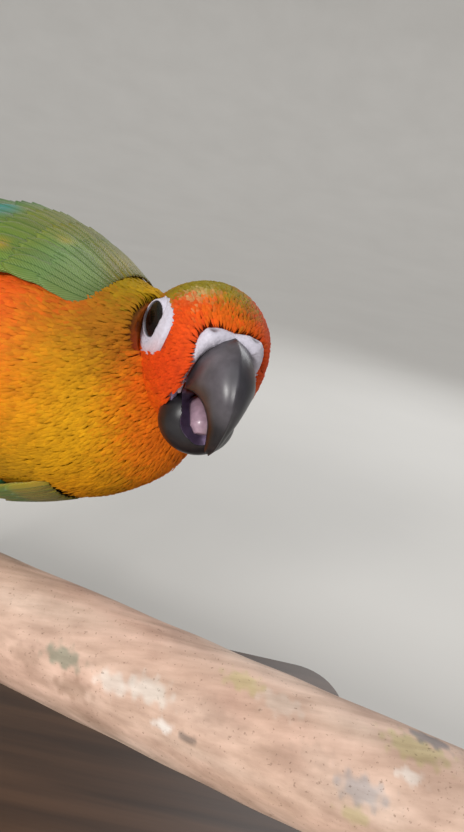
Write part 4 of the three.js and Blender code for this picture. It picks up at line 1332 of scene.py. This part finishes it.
def eye_mesh(side):
    centre, out, ahead, up = eye_frame(side)
    polar, around = round_grid(0.002, np.pi - 0.05, 60, 64)
    radius = EYE["radius"] * (1 + 0.05 * np.exp(-(polar / 0.5) ** 2))
    rise = radius * np.cos(polar)
    rise = np.where(rise > EYE["level"], EYE["level"] + (rise - EYE["level"]) * EYE["bulge"], rise)
    flat = (radius * np.sin(polar))[..., None] * spokes(around, ahead, up)
    points, faces = stack_mesh(centre + rise[..., None] * out + flat)
    gaze = unit(points - centre) @ out
    from_pupil = np.degrees(np.arccos(np.clip(gaze, -1, 1)))
    pupil = 1 - smooth(*PUPIL_EDGE, from_pupil)[:, None]
    rim = smooth(*IRIS_EDGE, from_pupil)[:, None]
    grain = 0.5 + 0.5 * np.sin(from_pupil * 1.3)[:, None]
    iris_tone, rim_tone, pupil_tone = (np.array(tone) for tone in EYE_TONES.values())
    colour = iris_tone * (0.8 + 0.4 * grain) * (1 - rim) + rim_tone * rim
    return points, faces, colour * (1 - pupil) + pupil_tone * pupil


RING_SHARES = (0, 0.03, 0.07, 0.12, 0.18, 0.25, 0.33, 0.42, 0.51, 0.6, 0.7, 0.8, 0.9, 1.0, 1.1)
RING_MARGIN = 0.9
RING_THICK = 0.9


def eye_ring(side, rng):
    """The bare skin and the lids round an eye, from the opening out to the feathers."""
    centre, out, ahead, up = eye_frame(side)
    around = full_turn(128)
    inner = EYE["opening"]
    outer = ring_reach(around) + RING_MARGIN
    rings = []
    for share in RING_SHARES:
        radius = inner + (outer - inner) * share
        flat = centre + radius[:, None] * spokes(around, ahead, up)
        ball = np.sqrt(np.maximum(EYE["radius"] ** 2 - radius ** 2, 0.2)) + 0.12
        past = radius - inner
        rim = (0.45 - 0.25 * np.cos(around)) * np.exp(-((past - 0.42) / 0.3) ** 2)
        blend = smooth(0.1, 1.5, past)
        fold = 0.09 * np.sin(radius * 6.5 + 1.2 * np.sin(around * 4 + side)) * smooth(0.5, 1.2, past)
        height = ball * (1 - blend) + (ring_level(side, flat) - 0.3) * blend + rim + fold
        height = height + 0.02 * rng.standard_normal(len(around)) - 1.6 * smooth(0.92, 1.1, share)
        rings.append(flat + out * height[:, None])
    grid = np.array(rings + [ring - out * RING_THICK for ring in rings[::-1]])
    points = grid.reshape(-1, 3)
    faces = facing_out(points, cell_faces(*grid.shape[:2], *grid.shape[:2]))
    share = np.repeat(RING_SHARES + RING_SHARES[::-1], len(around))[:, None]
    low = np.tile(1 - smooth(-0.9, -0.2, np.sin(around)), len(grid))[:, None]
    pink = 0.75 * low * smooth(0.3, 0.95, share)
    colour = linear("skin") * (1 - pink) + linear("pink") * pink
    # Painted shade: the lids darken towards their inner edge, in the crease against the eyeball
    return points, faces, colour * (0.3 + 0.7 * smooth(0.0, 0.05, share))


# Bill

BILL_HINGE = (-3, -12)
BILL_SECTIONS = np.array([
    (110, 12, 2, 6.2), (92, 13, 1.4, 6.5), (72, 13.6, 1.2, 6.6), (50, 13.8, 1.6, 6.6),
    (28, 13.7, 2.8, 6.4), (8, 13.5, 5.2, 4.9), (-10, 12.9, 7.2, 3.5), (-28, 12.2, 8.4, 2.3),
    (-46, 11.9, 9.4, 1.6), (-62, 11.5, 10.5, 0.9),
], dtype=float)
MOAT = 0.9
MOAT_DEPTH = 1.6
MOAT_EDGE = (0.88, 1.04)
MOAT_REACH = 22
BILL_RIDGE = {"height": 0.35, "half": 0.16}
HORN_HOLD = 0.8
LOWER_BILL = {
    "centre": (-9.8, -0.5, -17.4), "size": (6.4, 8.3, 7.4), "hollow": (-9.1, -0.5, -17.3),
    "hollow_size": (5.6, 7.1, 6.2), "notch": (-6.5, -0.5, -13), "notch_size": (8, 5.2, 9),
    "rim": (-5, -12.2), "slope": -87,
}
MOUTH = [((-4.5, 0, -12.5), (6.5, 7.6, 5.2)), ((-2.5, -0.4, -16.5), (7.6, 10.2, 8.4))]
# Marks on the upper bill: the grey marks are painted light on its near side, the blue marks painted shade on
# its far side
BILL_SEEN = [
    (215, 365, 3.0, 3.0, "horn_painted_light"), (222, 395, 3.0, 2.6, "horn_painted_light"),
    (228, 355, 2.4, 2.0, "horn_painted_light"), (205, 400, 1.8, 2.0, "horn"), (195, 372, 2.2, 1.6, "horn"),
    (243, 370, 2.2, 4.0, "horn_painted_shade"), (246, 395, 2.4, 4.0, "horn_painted_shade"), (240, 425, 2.4, 3.0, "horn"),
    (215, 440, 2.0, 3.0, "horn"), (252, 374, 1.2, 3.0, "horn_red"), (225, 345, 1.6, 1.2, "horn"),
    (208, 425, 1.8, 2.0, "horn"),
]


def share_of_bill(points):
    """How far points lie from the middle of the upper bill's fan of sections, under 1 within MOAT of it."""
    forward, left, up = (head_local(points) - (BILL_HINGE[0], 0, BILL_HINGE[1])).T
    turn = np.degrees(np.arctan2(up, forward))
    t = np.interp(-turn, -BILL_SECTIONS[:, 0], np.arange(len(BILL_SECTIONS)))
    _, top, edge, half = station(BILL_SECTIONS, t).T
    above = np.maximum(0, (np.hypot(forward, up) - edge) / (top - edge + MOAT))
    return np.where(forward > -12, np.hypot(left / (half + MOAT), above), 9)


def upper_bill():
    """The upper bill as a fan of sections, with painted light on its near side and painted shade on its far
    side over the horn.
    """
    steps, arc_sides, palate_sides = 90, 44, 14
    degrees, top, edge, half = station(BILL_SECTIONS, np.linspace(0, len(BILL_SECTIONS) - 1, steps)).T
    half = np.maximum(half, 0.6)
    over = np.linspace(0, np.pi, arc_sides + 1)
    under = np.linspace(0, np.pi, palate_sides + 1)[1:-1]
    ridge = np.maximum(0, 1 - np.abs(np.cos(over)) / BILL_RIDGE["half"]) * BILL_RIDGE["height"]
    rings = []
    for k, turn in enumerate(np.radians(degrees)):
        crest = edge[k] + (top[k] - edge[k]) * np.sin(over) + ridge - BILL_RIDGE["height"] / 2
        palate = edge[k] + min(2.2, (top[k] - edge[k]) * 0.35) * np.sin(under)
        reach = np.concatenate([crest, palate])
        side = np.concatenate([half[k] * np.cos(over), -half[k] * 0.85 * np.cos(under)])
        forward = BILL_HINGE[0] + reach * np.cos(turn)
        rings.append(head_point(forward, side, BILL_HINGE[1] + reach * np.sin(turn)))
    points, faces = stack_mesh(np.array(rings))
    # The horn's colour, with its painted light and painted shade
    marks = marks_on(search_tree(points, faces), BILL_SEEN, [], HEAD)
    weight = mark_weights(points, marks)
    colour = weight @ marks[3] + linear("horn") * HORN_HOLD
    return points, faces, colour / (weight.sum(1, keepdims=True) + HORN_HOLD)


def cap_rings(centre, size, plane_at, plane_normal, steps, sides):
    """Rings of the part of an ellipsoid that lies below a plane, from its lowest point to the plane."""
    size = np.array(size, float)
    centre = np.array(centre, float)
    scaled = plane_normal * size
    reach = np.linalg.norm(scaled)
    limit = np.arccos(np.clip(-((plane_at - centre) @ plane_normal) / reach, -1, 1))
    pole = -scaled / reach
    first = unit(np.cross(pole, np.array((0, 1, 0.0))))
    polar, around = round_grid(0.03, limit, steps, sides)
    flat = np.sin(polar)[..., None] * spokes(around, first, np.cross(pole, first))
    return centre + (np.cos(polar)[..., None] * pole + flat) * size


def lower_bill():
    """The lower bill's mesh, and how surely each of its points lies in the hollow, from 0 to 1."""
    slope = np.radians(LOWER_BILL["slope"])
    normal = np.array((-np.sin(slope), 0, np.cos(slope)))
    at = np.array((LOWER_BILL["rim"][0], 0, LOWER_BILL["rim"][1]))
    outer = cap_rings(LOWER_BILL["centre"], LOWER_BILL["size"], at, normal, 40, 96)
    inner = cap_rings(LOWER_BILL["hollow"], LOWER_BILL["hollow_size"], at - 0.15 * normal, normal, 36, 96)
    lip = (outer[-1] + inner[-1]) / 2 + 0.22 * normal
    local = np.concatenate([outer, [lip], inner[::-1]])
    whole = stack_mesh(head_point(*np.moveaxis(local, 2, 0)))
    bill = new_object("bill_draft", new_mesh("bill_lower", *whole))
    cut(bill, *ball_mesh(head_point(*LOWER_BILL["notch"]), LOWER_BILL["notch_size"]))
    mesh = bill.data
    bpy.data.objects.remove(bill)
    away = head_local(mesh_points(mesh)) - LOWER_BILL["hollow"]
    inside = 1 - smooth(1.0, 1.06, np.linalg.norm(away / LOWER_BILL["hollow_size"], axis=1))
    return mesh, inside


TONGUE_PATH = [
    (-13, -0.3, -14.4), (-9.5, -0.5, -14.8), (-6.8, -0.6, -16), (-5.2, -0.6, -17.8), (-4.6, -0.6, -19.4),
]
TONGUE_RADII = (2, 2.4, 2.4, 2.3, 1.3)


def tongue_mesh():
    path = [head_point(*place) for place in TONGUE_PATH]
    return stack_mesh(tube_rings(path, TONGUE_RADII, 36, 48))


def cere_mesh(rng):
    """The bare band over the bill's root, with an open nostril on each side."""
    rings = tube_rings(cere_path(), CERE_RADII, 36, 160)
    points, faces = stack_mesh(rings)
    shade = np.ones(len(points))
    for side in (-1, 1):
        hole = head_point(NOSTRIL[0], side * NOSTRIL[1], NOSTRIL[2])
        # Each nostril is pushed in and darkened with painted shade in its hollow
        distance = np.linalg.norm(points - hole, axis=1)
        push = 0.9 * np.exp(-(distance / 0.75) ** 2)
        points = points - push[:, None] * (HEAD_FORWARD * 0.6 + HEAD_UP * 0.8)
        shade = shade * (1 - 0.95 * np.exp(-(distance / 0.8) ** 2))
    points = points + rng.normal(0, 0.025, points.shape)
    pink = 0.6 * (1 - smooth(-9, -2, head_local(points)[:, 2:]))
    return points, faces, (linear("skin") * (1 - pink) + linear("pink") * pink) * shade[:, None]


# Perch and stand

PERCH_SMUDGES = [
    (-20, 299, 3.9, 0.7, (0.17, 0.21, 0.15)),
    (-16, 276, 3.9, 0.5, (0.27, 0.16, 0.1)),
    (-8, 297, 3.7, 0.55, (0.66, 0.64, 0.6)),
    (-1, 304, 4.3, 0.6, (0.66, 0.65, 0.61)),
    (4, 281, 2.0, 0.75, (0.85, 0.84, 0.82)),
    (9, 281, 1.6, 0.7, (0.13, 0.11, 0.1)),
    (15, 345, 3.9, 0.5, (0.44, 0.42, 0.17)),
    (41, 302, 4.3, 0.6, (0.27, 0.29, 0.32)),
    (48, 354, 5.6, 0.5, (0.42, 0.42, 0.16)),
    (50, 13, 3.8, 0.7, (0.13, 0.15, 0.18)),
    (48, 327, 2.2, 0.6, (0.8, 0.79, 0.76)),
    (41, 282, 2.7, 0.5, (0.42, 0.4, 0.17)),
    (23, 340, 4.2, 0.35, (0.7, 0.66, 0.6)),
    (32, 312, 3.3, 0.3, (0.3, 0.22, 0.17)),
    (-28, 287, 3.2, 0.4, (0.3, 0.2, 0.14)),
    (12, 311, 3.5, 0.3, (0.34, 0.24, 0.18)),
]


PERCH_TONE = (0.59, 0.42, 0.335)
PERCH_TONES = [(0.66, 0.5, 0.41), (0.48, 0.32, 0.24), (0.58, 0.38, 0.3), (0.72, 0.59, 0.5)]
PERCH_WAVES = 46
PERCH_STREAKS = 220
STREAK_STRENGTH = 0.45
MM_PER_DEGREE = 0.218


def perch_mesh(rng):
    around = np.linspace(0, 360, 120, endpoint=False)
    along, turn = np.meshgrid(np.linspace(PERCH["left"], PERCH["right"], 420), around, indexing="ij")
    radius = np.full(along.shape, PERCH["radius"] - 0.12)
    for _ in range(PERCH_WAVES):
        wave = rng.uniform(0.02, 0.35)
        lobes = rng.integers(0, 9)
        phase = rng.uniform(0, 6.3)
        drift = rng.uniform(0, 6.3)
        radius += 0.028 * np.sin(along * wave + phase) * np.cos(np.radians(turn) * lobes + drift)
    ends = np.minimum(along - PERCH["left"], PERCH["right"] - along)
    radius -= 0.8 * (1 - smooth(0, 0.9, ends))
    points, faces = stack_mesh(perch_point(along, turn, radius))
    return points, faces, perch_colour(points, rng)


def perch_colour(points, rng):
    """The bark's tones in long streaks, and the smudges on it."""
    away = points - PERCH["at"]
    x = away @ PERCH_FORWARD
    degrees = np.degrees(np.arctan2(away @ PERCH_LEFT, away @ PERCH_UP)) % 360
    colour = np.tile(np.array(PERCH_TONE), (len(points), 1))
    for _ in range(PERCH_STREAKS):
        centre = rng.uniform(PERCH["left"], PERCH["right"])
        gap = (degrees - rng.uniform(0, 360) + 180) % 360 - 180
        long = rng.uniform(2, 14)
        wide = rng.uniform(1, 4.5)
        weight = np.exp(-0.5 * ((x - centre) / long) ** 2 - 0.5 * (gap * MM_PER_DEGREE / wide) ** 2)
        pull = STREAK_STRENGTH * weight[:, None]
        colour = colour * (1 - pull) + np.array(PERCH_TONES[rng.integers(0, len(PERCH_TONES))]) * pull
    for centre, spot, size, strength, tone in PERCH_SMUDGES:
        gap = (degrees - spot + 180) % 360 - 180
        ragged = 1 + 0.35 * np.sin(x * 2.1 + spot) * np.cos(gap * 0.3 + centre)
        spread = np.hypot((x - centre) / size, gap * MM_PER_DEGREE / (size * 0.5)) * ragged
        pull = strength * (1 - smooth(0.6, 1.3, spread))[:, None]
        colour = colour * (1 - pull) + np.array(tone) * pull
    return colour


def perch_material():
    look = Look("perch_wood")
    grain = look.noise(420.0, 6.0, stretch=(0.12, 1, 1), turn=-PERCH["yaw"])
    blots = look.noise(110.0, 5.0)
    pits = look.noise(1500.0, 3.0)
    dark = look.ramp(grain, (0.25, (0.7, 0.66, 0.62)), (0.7, (1.08, 1.06, 1.05)))
    pale = look.ramp(blots, (0.3, (0.82, 0.78, 0.76)), (0.62, (1.1, 1.1, 1.1)))
    specks = look.ramp(pits, (0.28, (0.45, 0.4, 0.36)), (0.36, (1.0, 1.0, 1.0)))
    body = look.mix("MULTIPLY", 1.0, look.attribute("tint").outputs["Color"], dark)
    body = look.mix("MULTIPLY", 1.0, body, pale)
    look.bump(look.math("ADD", grain, look.math("MULTIPLY", pits, 0.3)), 0.5, 0.0004)
    return look.finish(look.mix("MULTIPLY", 0.7, body, specks), 0.62, specular=0.35)


# Heights and radii of the rods' collar, shaft and saddle, as shares of the solid's
ROD_PROFILE = [
    (0, 1), (0.02, 1), (0.03, 0.92), (0.06, 0.92), (0.07, 0.8),
    (0.5, 0.8), (0.93, 0.8), (0.95, 0.95), (1, 0.98),
]


def rod_mesh(node):
    """A turned rod with a foot collar and a small saddle under the perch, in the space of its solid."""
    low, high = (np.array(corner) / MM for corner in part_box(node))
    centre = (low + high) / 2
    radius = (high[0] - low[0]) / 2
    angles = full_turn(40)
    rings = []
    for height, share in ROD_PROFILE:
        ring = np.stack([np.cos(angles), np.sin(angles), 0 * angles], 1) * radius * share + centre
        ring[:, 2] = low[2] + (high[2] - low[2]) * height
        rings.append(ring)
    return stack_mesh(np.array(rings))


# The floor's rings: reach and rise. Its far edge sweeps up, so that no horizon shows
FLOOR_RINGS = [
    (1, 0), (1000, 0), (1800, 30), (2500, 150), (3100, 400), (3600, 800), (3900, 1300), (4000, 2000),
]
FLOOR_SIDES = 96


def add_floor():
    around = full_turn(FLOOR_SIDES)
    rings = [np.stack([reach * np.cos(around), reach * np.sin(around), 0 * around + rise], 1)
             for reach, rise in FLOOR_RINGS]
    a, b, c, d = cells(len(rings), FLOOR_SIDES, len(rings) - 1, FLOOR_SIDES)
    faces = np.stack([a, b, d, c], 1)
    floor = new_object("floor", new_mesh("floor", np.concatenate(rings), faces))
    floor.data.materials.append(floor_material())


# Lamps: place, size, power and colour. Each shines at the model
LAMPS = {
    "key": ((-0.22, -0.5, 0.34), 0.12, 2.5, (1.0, 0.98, 0.95)),
    "back": ((0.3, 0.6, 0.5), 0.4, 1.6, (0.96, 0.98, 1.0)),
}
SUBJECT = (0.02, -0.01, 0.12)
SKY = {"tone": (1.0, 0.985, 0.96, 1), "strength": 0.46}
WIDE = {"power": 0.75, "degrees": 50, "turn": (38, -12, 0)}


def add_light(name, at, size, power, colour):
    light = bpy.data.lights.new(name, "AREA")
    light.size = size
    light.energy = power
    light.color = colour
    obj = new_object(name, light)
    obj.location = at
    obj.rotation_euler = (Vector(SUBJECT) - Vector(at)).to_track_quat("-Z", "Y").to_euler()


def add_lights():
    world = bpy.data.worlds.new("studio")
    world.use_nodes = True
    background = world.node_tree.nodes["Background"]
    background.inputs["Color"].default_value = SKY["tone"]
    background.inputs["Strength"].default_value = SKY["strength"]
    bpy.context.scene.world = world
    sun = bpy.data.lights.new("wide", "SUN")
    sun.energy = WIDE["power"]
    sun.angle = np.radians(WIDE["degrees"])
    new_object("wide", sun).rotation_euler = np.radians(WIDE["turn"])
    for name, lamp in LAMPS.items():
        add_light(name, *lamp)


def add_camera():
    camera = bpy.data.cameras.new("camera")
    camera.sensor_width = SENSOR_MM
    camera.lens = FOCAL_PX / max(FRAME_SIZE) * SENSOR_MM
    camera.clip_start = 0.005
    camera.clip_end = 20
    obj = new_object("camera", camera)
    up = np.cross(CAMERA_RIGHT, CAMERA_AHEAD)
    turn = Matrix(np.stack([CAMERA_RIGHT, up, -CAMERA_AHEAD], 1).tolist())
    obj.matrix_world = Matrix.Translation(Vector(CAMERA_AT * MM)) @ turn.to_4x4()
    bpy.context.scene.camera = obj


# Coats of the body: name, first and last s, spacing, length and width
BODY_COATS = [
    ("rump", RUMP_S, 4.2, 0.85, 5.4, 1.2), ("belly", 4.2, 5.8, 0.8, 5.4, 1.15),
    ("breast", 5.8, 7.2, 0.72, 5.0, 1.0), ("chest", 7.2, 8.7, 0.66, 4.6, 0.9),
    ("throat", 8.7, 10.2, 0.6, 4.2, 0.8), ("nape", 10.2, NECK_END_S, 0.56, 3.8, 0.75),
]


HEAD_COAT = {"start": 0.2, "end": 7.95, "spacing": 0.56, "width": 0.66, "thick": 0.08, "bend": 14}


def add_skin(body_marks, head_marks):
    mesh = skin_mesh()
    points = mesh_points(mesh)
    share = on_the_head(points)[:, None]
    colour = marked(points, body_marks) * (1 - share) + marked(points, head_marks) * share
    inside = in_the_mouth(points)[:, None]
    skin_map(mesh, points)
    # The skin under the feathers gets their colour with painted shade, and the mouth its lining
    paint(mesh, colour * SKIN_SHADE * (1 - inside) + linear("lilac") * inside)
    mesh.polygons.foreach_set("use_smooth", np.ones(len(mesh.polygons), bool))
    material = tinted("skin", 0.6, 0.15, 700.0, 0.2, specular=0.3)
    piece("skin", mesh, material, "plumage", "torso", "neck", "head", "thigh_right", "thigh_left")


def body_coat(start, end, spacing, length, width, marks, rng):
    """The feathers of one stretch of the body, apart from what the wings, head and eyes leave no room for."""
    s, angle = coat_roots(BODY, start, end, spacing, rng)
    at, back, out = surface_frame(BODY, s, angle, -BODY_DEPTH)
    keep = ~under_wing(1, s, angle) & ~under_wing(-1, s, angle)
    keep &= share_of_head(skin_point(BODY, s, angle)) > HIDDEN_SHARE
    for reach in (0, 0.5, 1):
        keep &= ~bare_eye(at + out * BODY_DEPTH + back * length * reach)
    s, angle, at, back, out = (values[keep] for values in (s, angle, at, back, out))
    depth = BODY_DEPTH + NAPE_RISE * smooth(10.5, 11.8, s) * smooth(0.1, 0.7, np.cos(angle))
    return tufts(at, back, out, (length, width, 0.1), depth, 26, body_chart(s, angle), PATCH, marks, rng)


def head_coat(marks, rng):
    s, angle = coat_roots(HEAD, HEAD_COAT["start"], HEAD_COAT["end"], HEAD_COAT["spacing"], rng)
    at, back, out = surface_frame(HEAD, s, angle, -HEAD_DEPTH)
    length = np.interp(s, (0, 5, 8), (3.6, 2.8, 1.7))
    keep = share_of_neck(skin_point(HEAD, s, angle)) > HIDDEN_SHARE
    keep &= ~bare_bill(at + out * HEAD_DEPTH)
    for reach in (0, 0.5, 1.05):
        keep &= ~bare_eye(at + out * HEAD_DEPTH + back * (length * reach)[:, None])
    s, angle, at, back, out, length = (values[keep] for values in (s, angle, at, back, out, length))
    size = (length, HEAD_COAT["width"], HEAD_COAT["thick"])
    spots = head_chart(s, angle)
    return tufts(at, back, out, size, HEAD_DEPTH, HEAD_COAT["bend"], spots, PATCH, marks, rng)


def add_coats(body_marks, head_marks):
    plumage = tinted("plumage", 0.7, 0.2, 420.0, 0.2, specular=0.15)
    rng = np.random.default_rng(11)
    for name, *stretch in BODY_COATS:
        tuft_piece("coat_" + name, body_coat(*stretch, body_marks, rng), plumage)
    tuft_piece("coat_head", head_coat(head_marks, rng), plumage)
    for leg in SIDES:
        tuft_piece("coat_thigh_" + leg["name"], thigh_coat(leg, body_marks, rng), plumage)


def vane_piece(name, made, material, node):
    points, faces, uv, colour, run = made
    mesh = new_mesh(name, points, faces, bake_uv=uv, colour=colour, vane=run)
    piece(name, mesh, material, "plumage", node)


def add_wings_and_tail():
    vanes = vane_material("vane")
    for seed, side, name in ((21, 1, "right"), (22, -1, "left")):
        made = join([wing_arm(side), wing_feathers(side, np.random.default_rng(seed))])
        vane_piece("feathers_wing_" + name, made, vanes, "wing_" + name)
    vane_piece("feathers_tail", tail_feathers(np.random.default_rng(31)), vanes, "tail")


def add_face():
    rng = np.random.default_rng(41)
    skin = tinted("bare_skin", 0.55, 0.12, 1600.0, 0.35, specular=0.4)
    eye = tinted("eye_glass", 0.06, 0.1, 300.0, 0.0, specular=0.25)
    horn = tinted("horn", 0.34, 0.3, 420.0, 0.12, specular=0.45)
    wet = tinted("mouth", 0.35, 0.2, 900.0, 0.3, specular=0.5, coat=0.4, coat_roughness=0.2)
    for side, name in ((-1, "right"), (1, "left")):
        tinted_piece("eyeball_" + name, eye_mesh(side), eye, "eye", "eye_" + name)
        tinted_piece("lids_" + name, eye_ring(side, rng), skin, "skin")
    tinted_piece("bill_upper", upper_bill(), horn, "horn", "beak_upper")
    mesh, inside = lower_bill()
    inside = inside[:, None]
    paint(mesh, linear("horn") * (1 - inside) * 1.2 + linear("lilac") * 1.2 * inside)
    piece("bill_lower", mesh, horn, "horn", "beak_lower")
    tinted_piece("tongue_tip", in_one_tone(tongue_mesh(), linear("rose")), wet, "tongue", "tongue")
    tinted_piece("cere_skin", cere_mesh(rng), skin, "skin", "cere")


def add_feet():
    scales = tinted("foot_scales", 0.6, 0.35, 1200.0, 0.6, specular=0.35)
    horn = tinted("claw_horn", 0.3, 0.3, 600.0, 0.1, coat=0.3)
    for leg in SIDES:
        node = "foot_" + leg["name"]
        tinted_piece("scaly_" + node, in_one_tone(foot_mesh(leg), FOOT_TONE), scales, "foot", node)
        for number, toe in enumerate(TOES, 1):
            node = "claw_" + leg["name"] + "_" + str(number)
            tinted_piece("horn_" + node, in_one_tone(claw_mesh(leg, toe), CLAW_TONE), horn, "claw", node)


def add_perch_and_stand():
    tinted_piece("perch_branch", perch_mesh(np.random.default_rng(51)), perch_material(), "wood", "perch")
    base = bpy.data.objects["stand_base"]
    base.data.materials.clear()
    base.data.materials.append(base_wood_material())
    steel = steel_material()
    for number in ("1", "2"):
        node = "stand_rod_" + number
        name = "turned_rod_" + number
        piece(name, new_mesh(name, *rod_mesh(node)), steel, "steel", node)


add_camera()
add_lights()
add_floor()
body_marks = marks_on(BODY_TREE, BODY_SEEN, BODY_UNSEEN, BODY)
head_marks = marks_on(HEAD_TREE, HEAD_SEEN, HEAD_UNSEEN, HEAD)
add_skin(body_marks, head_marks)
add_coats(body_marks, head_marks)
add_wings_and_tail()
add_face()
add_feet()
add_perch_and_stand()
bpy.context.scene.view_settings.view_transform = "Standard"
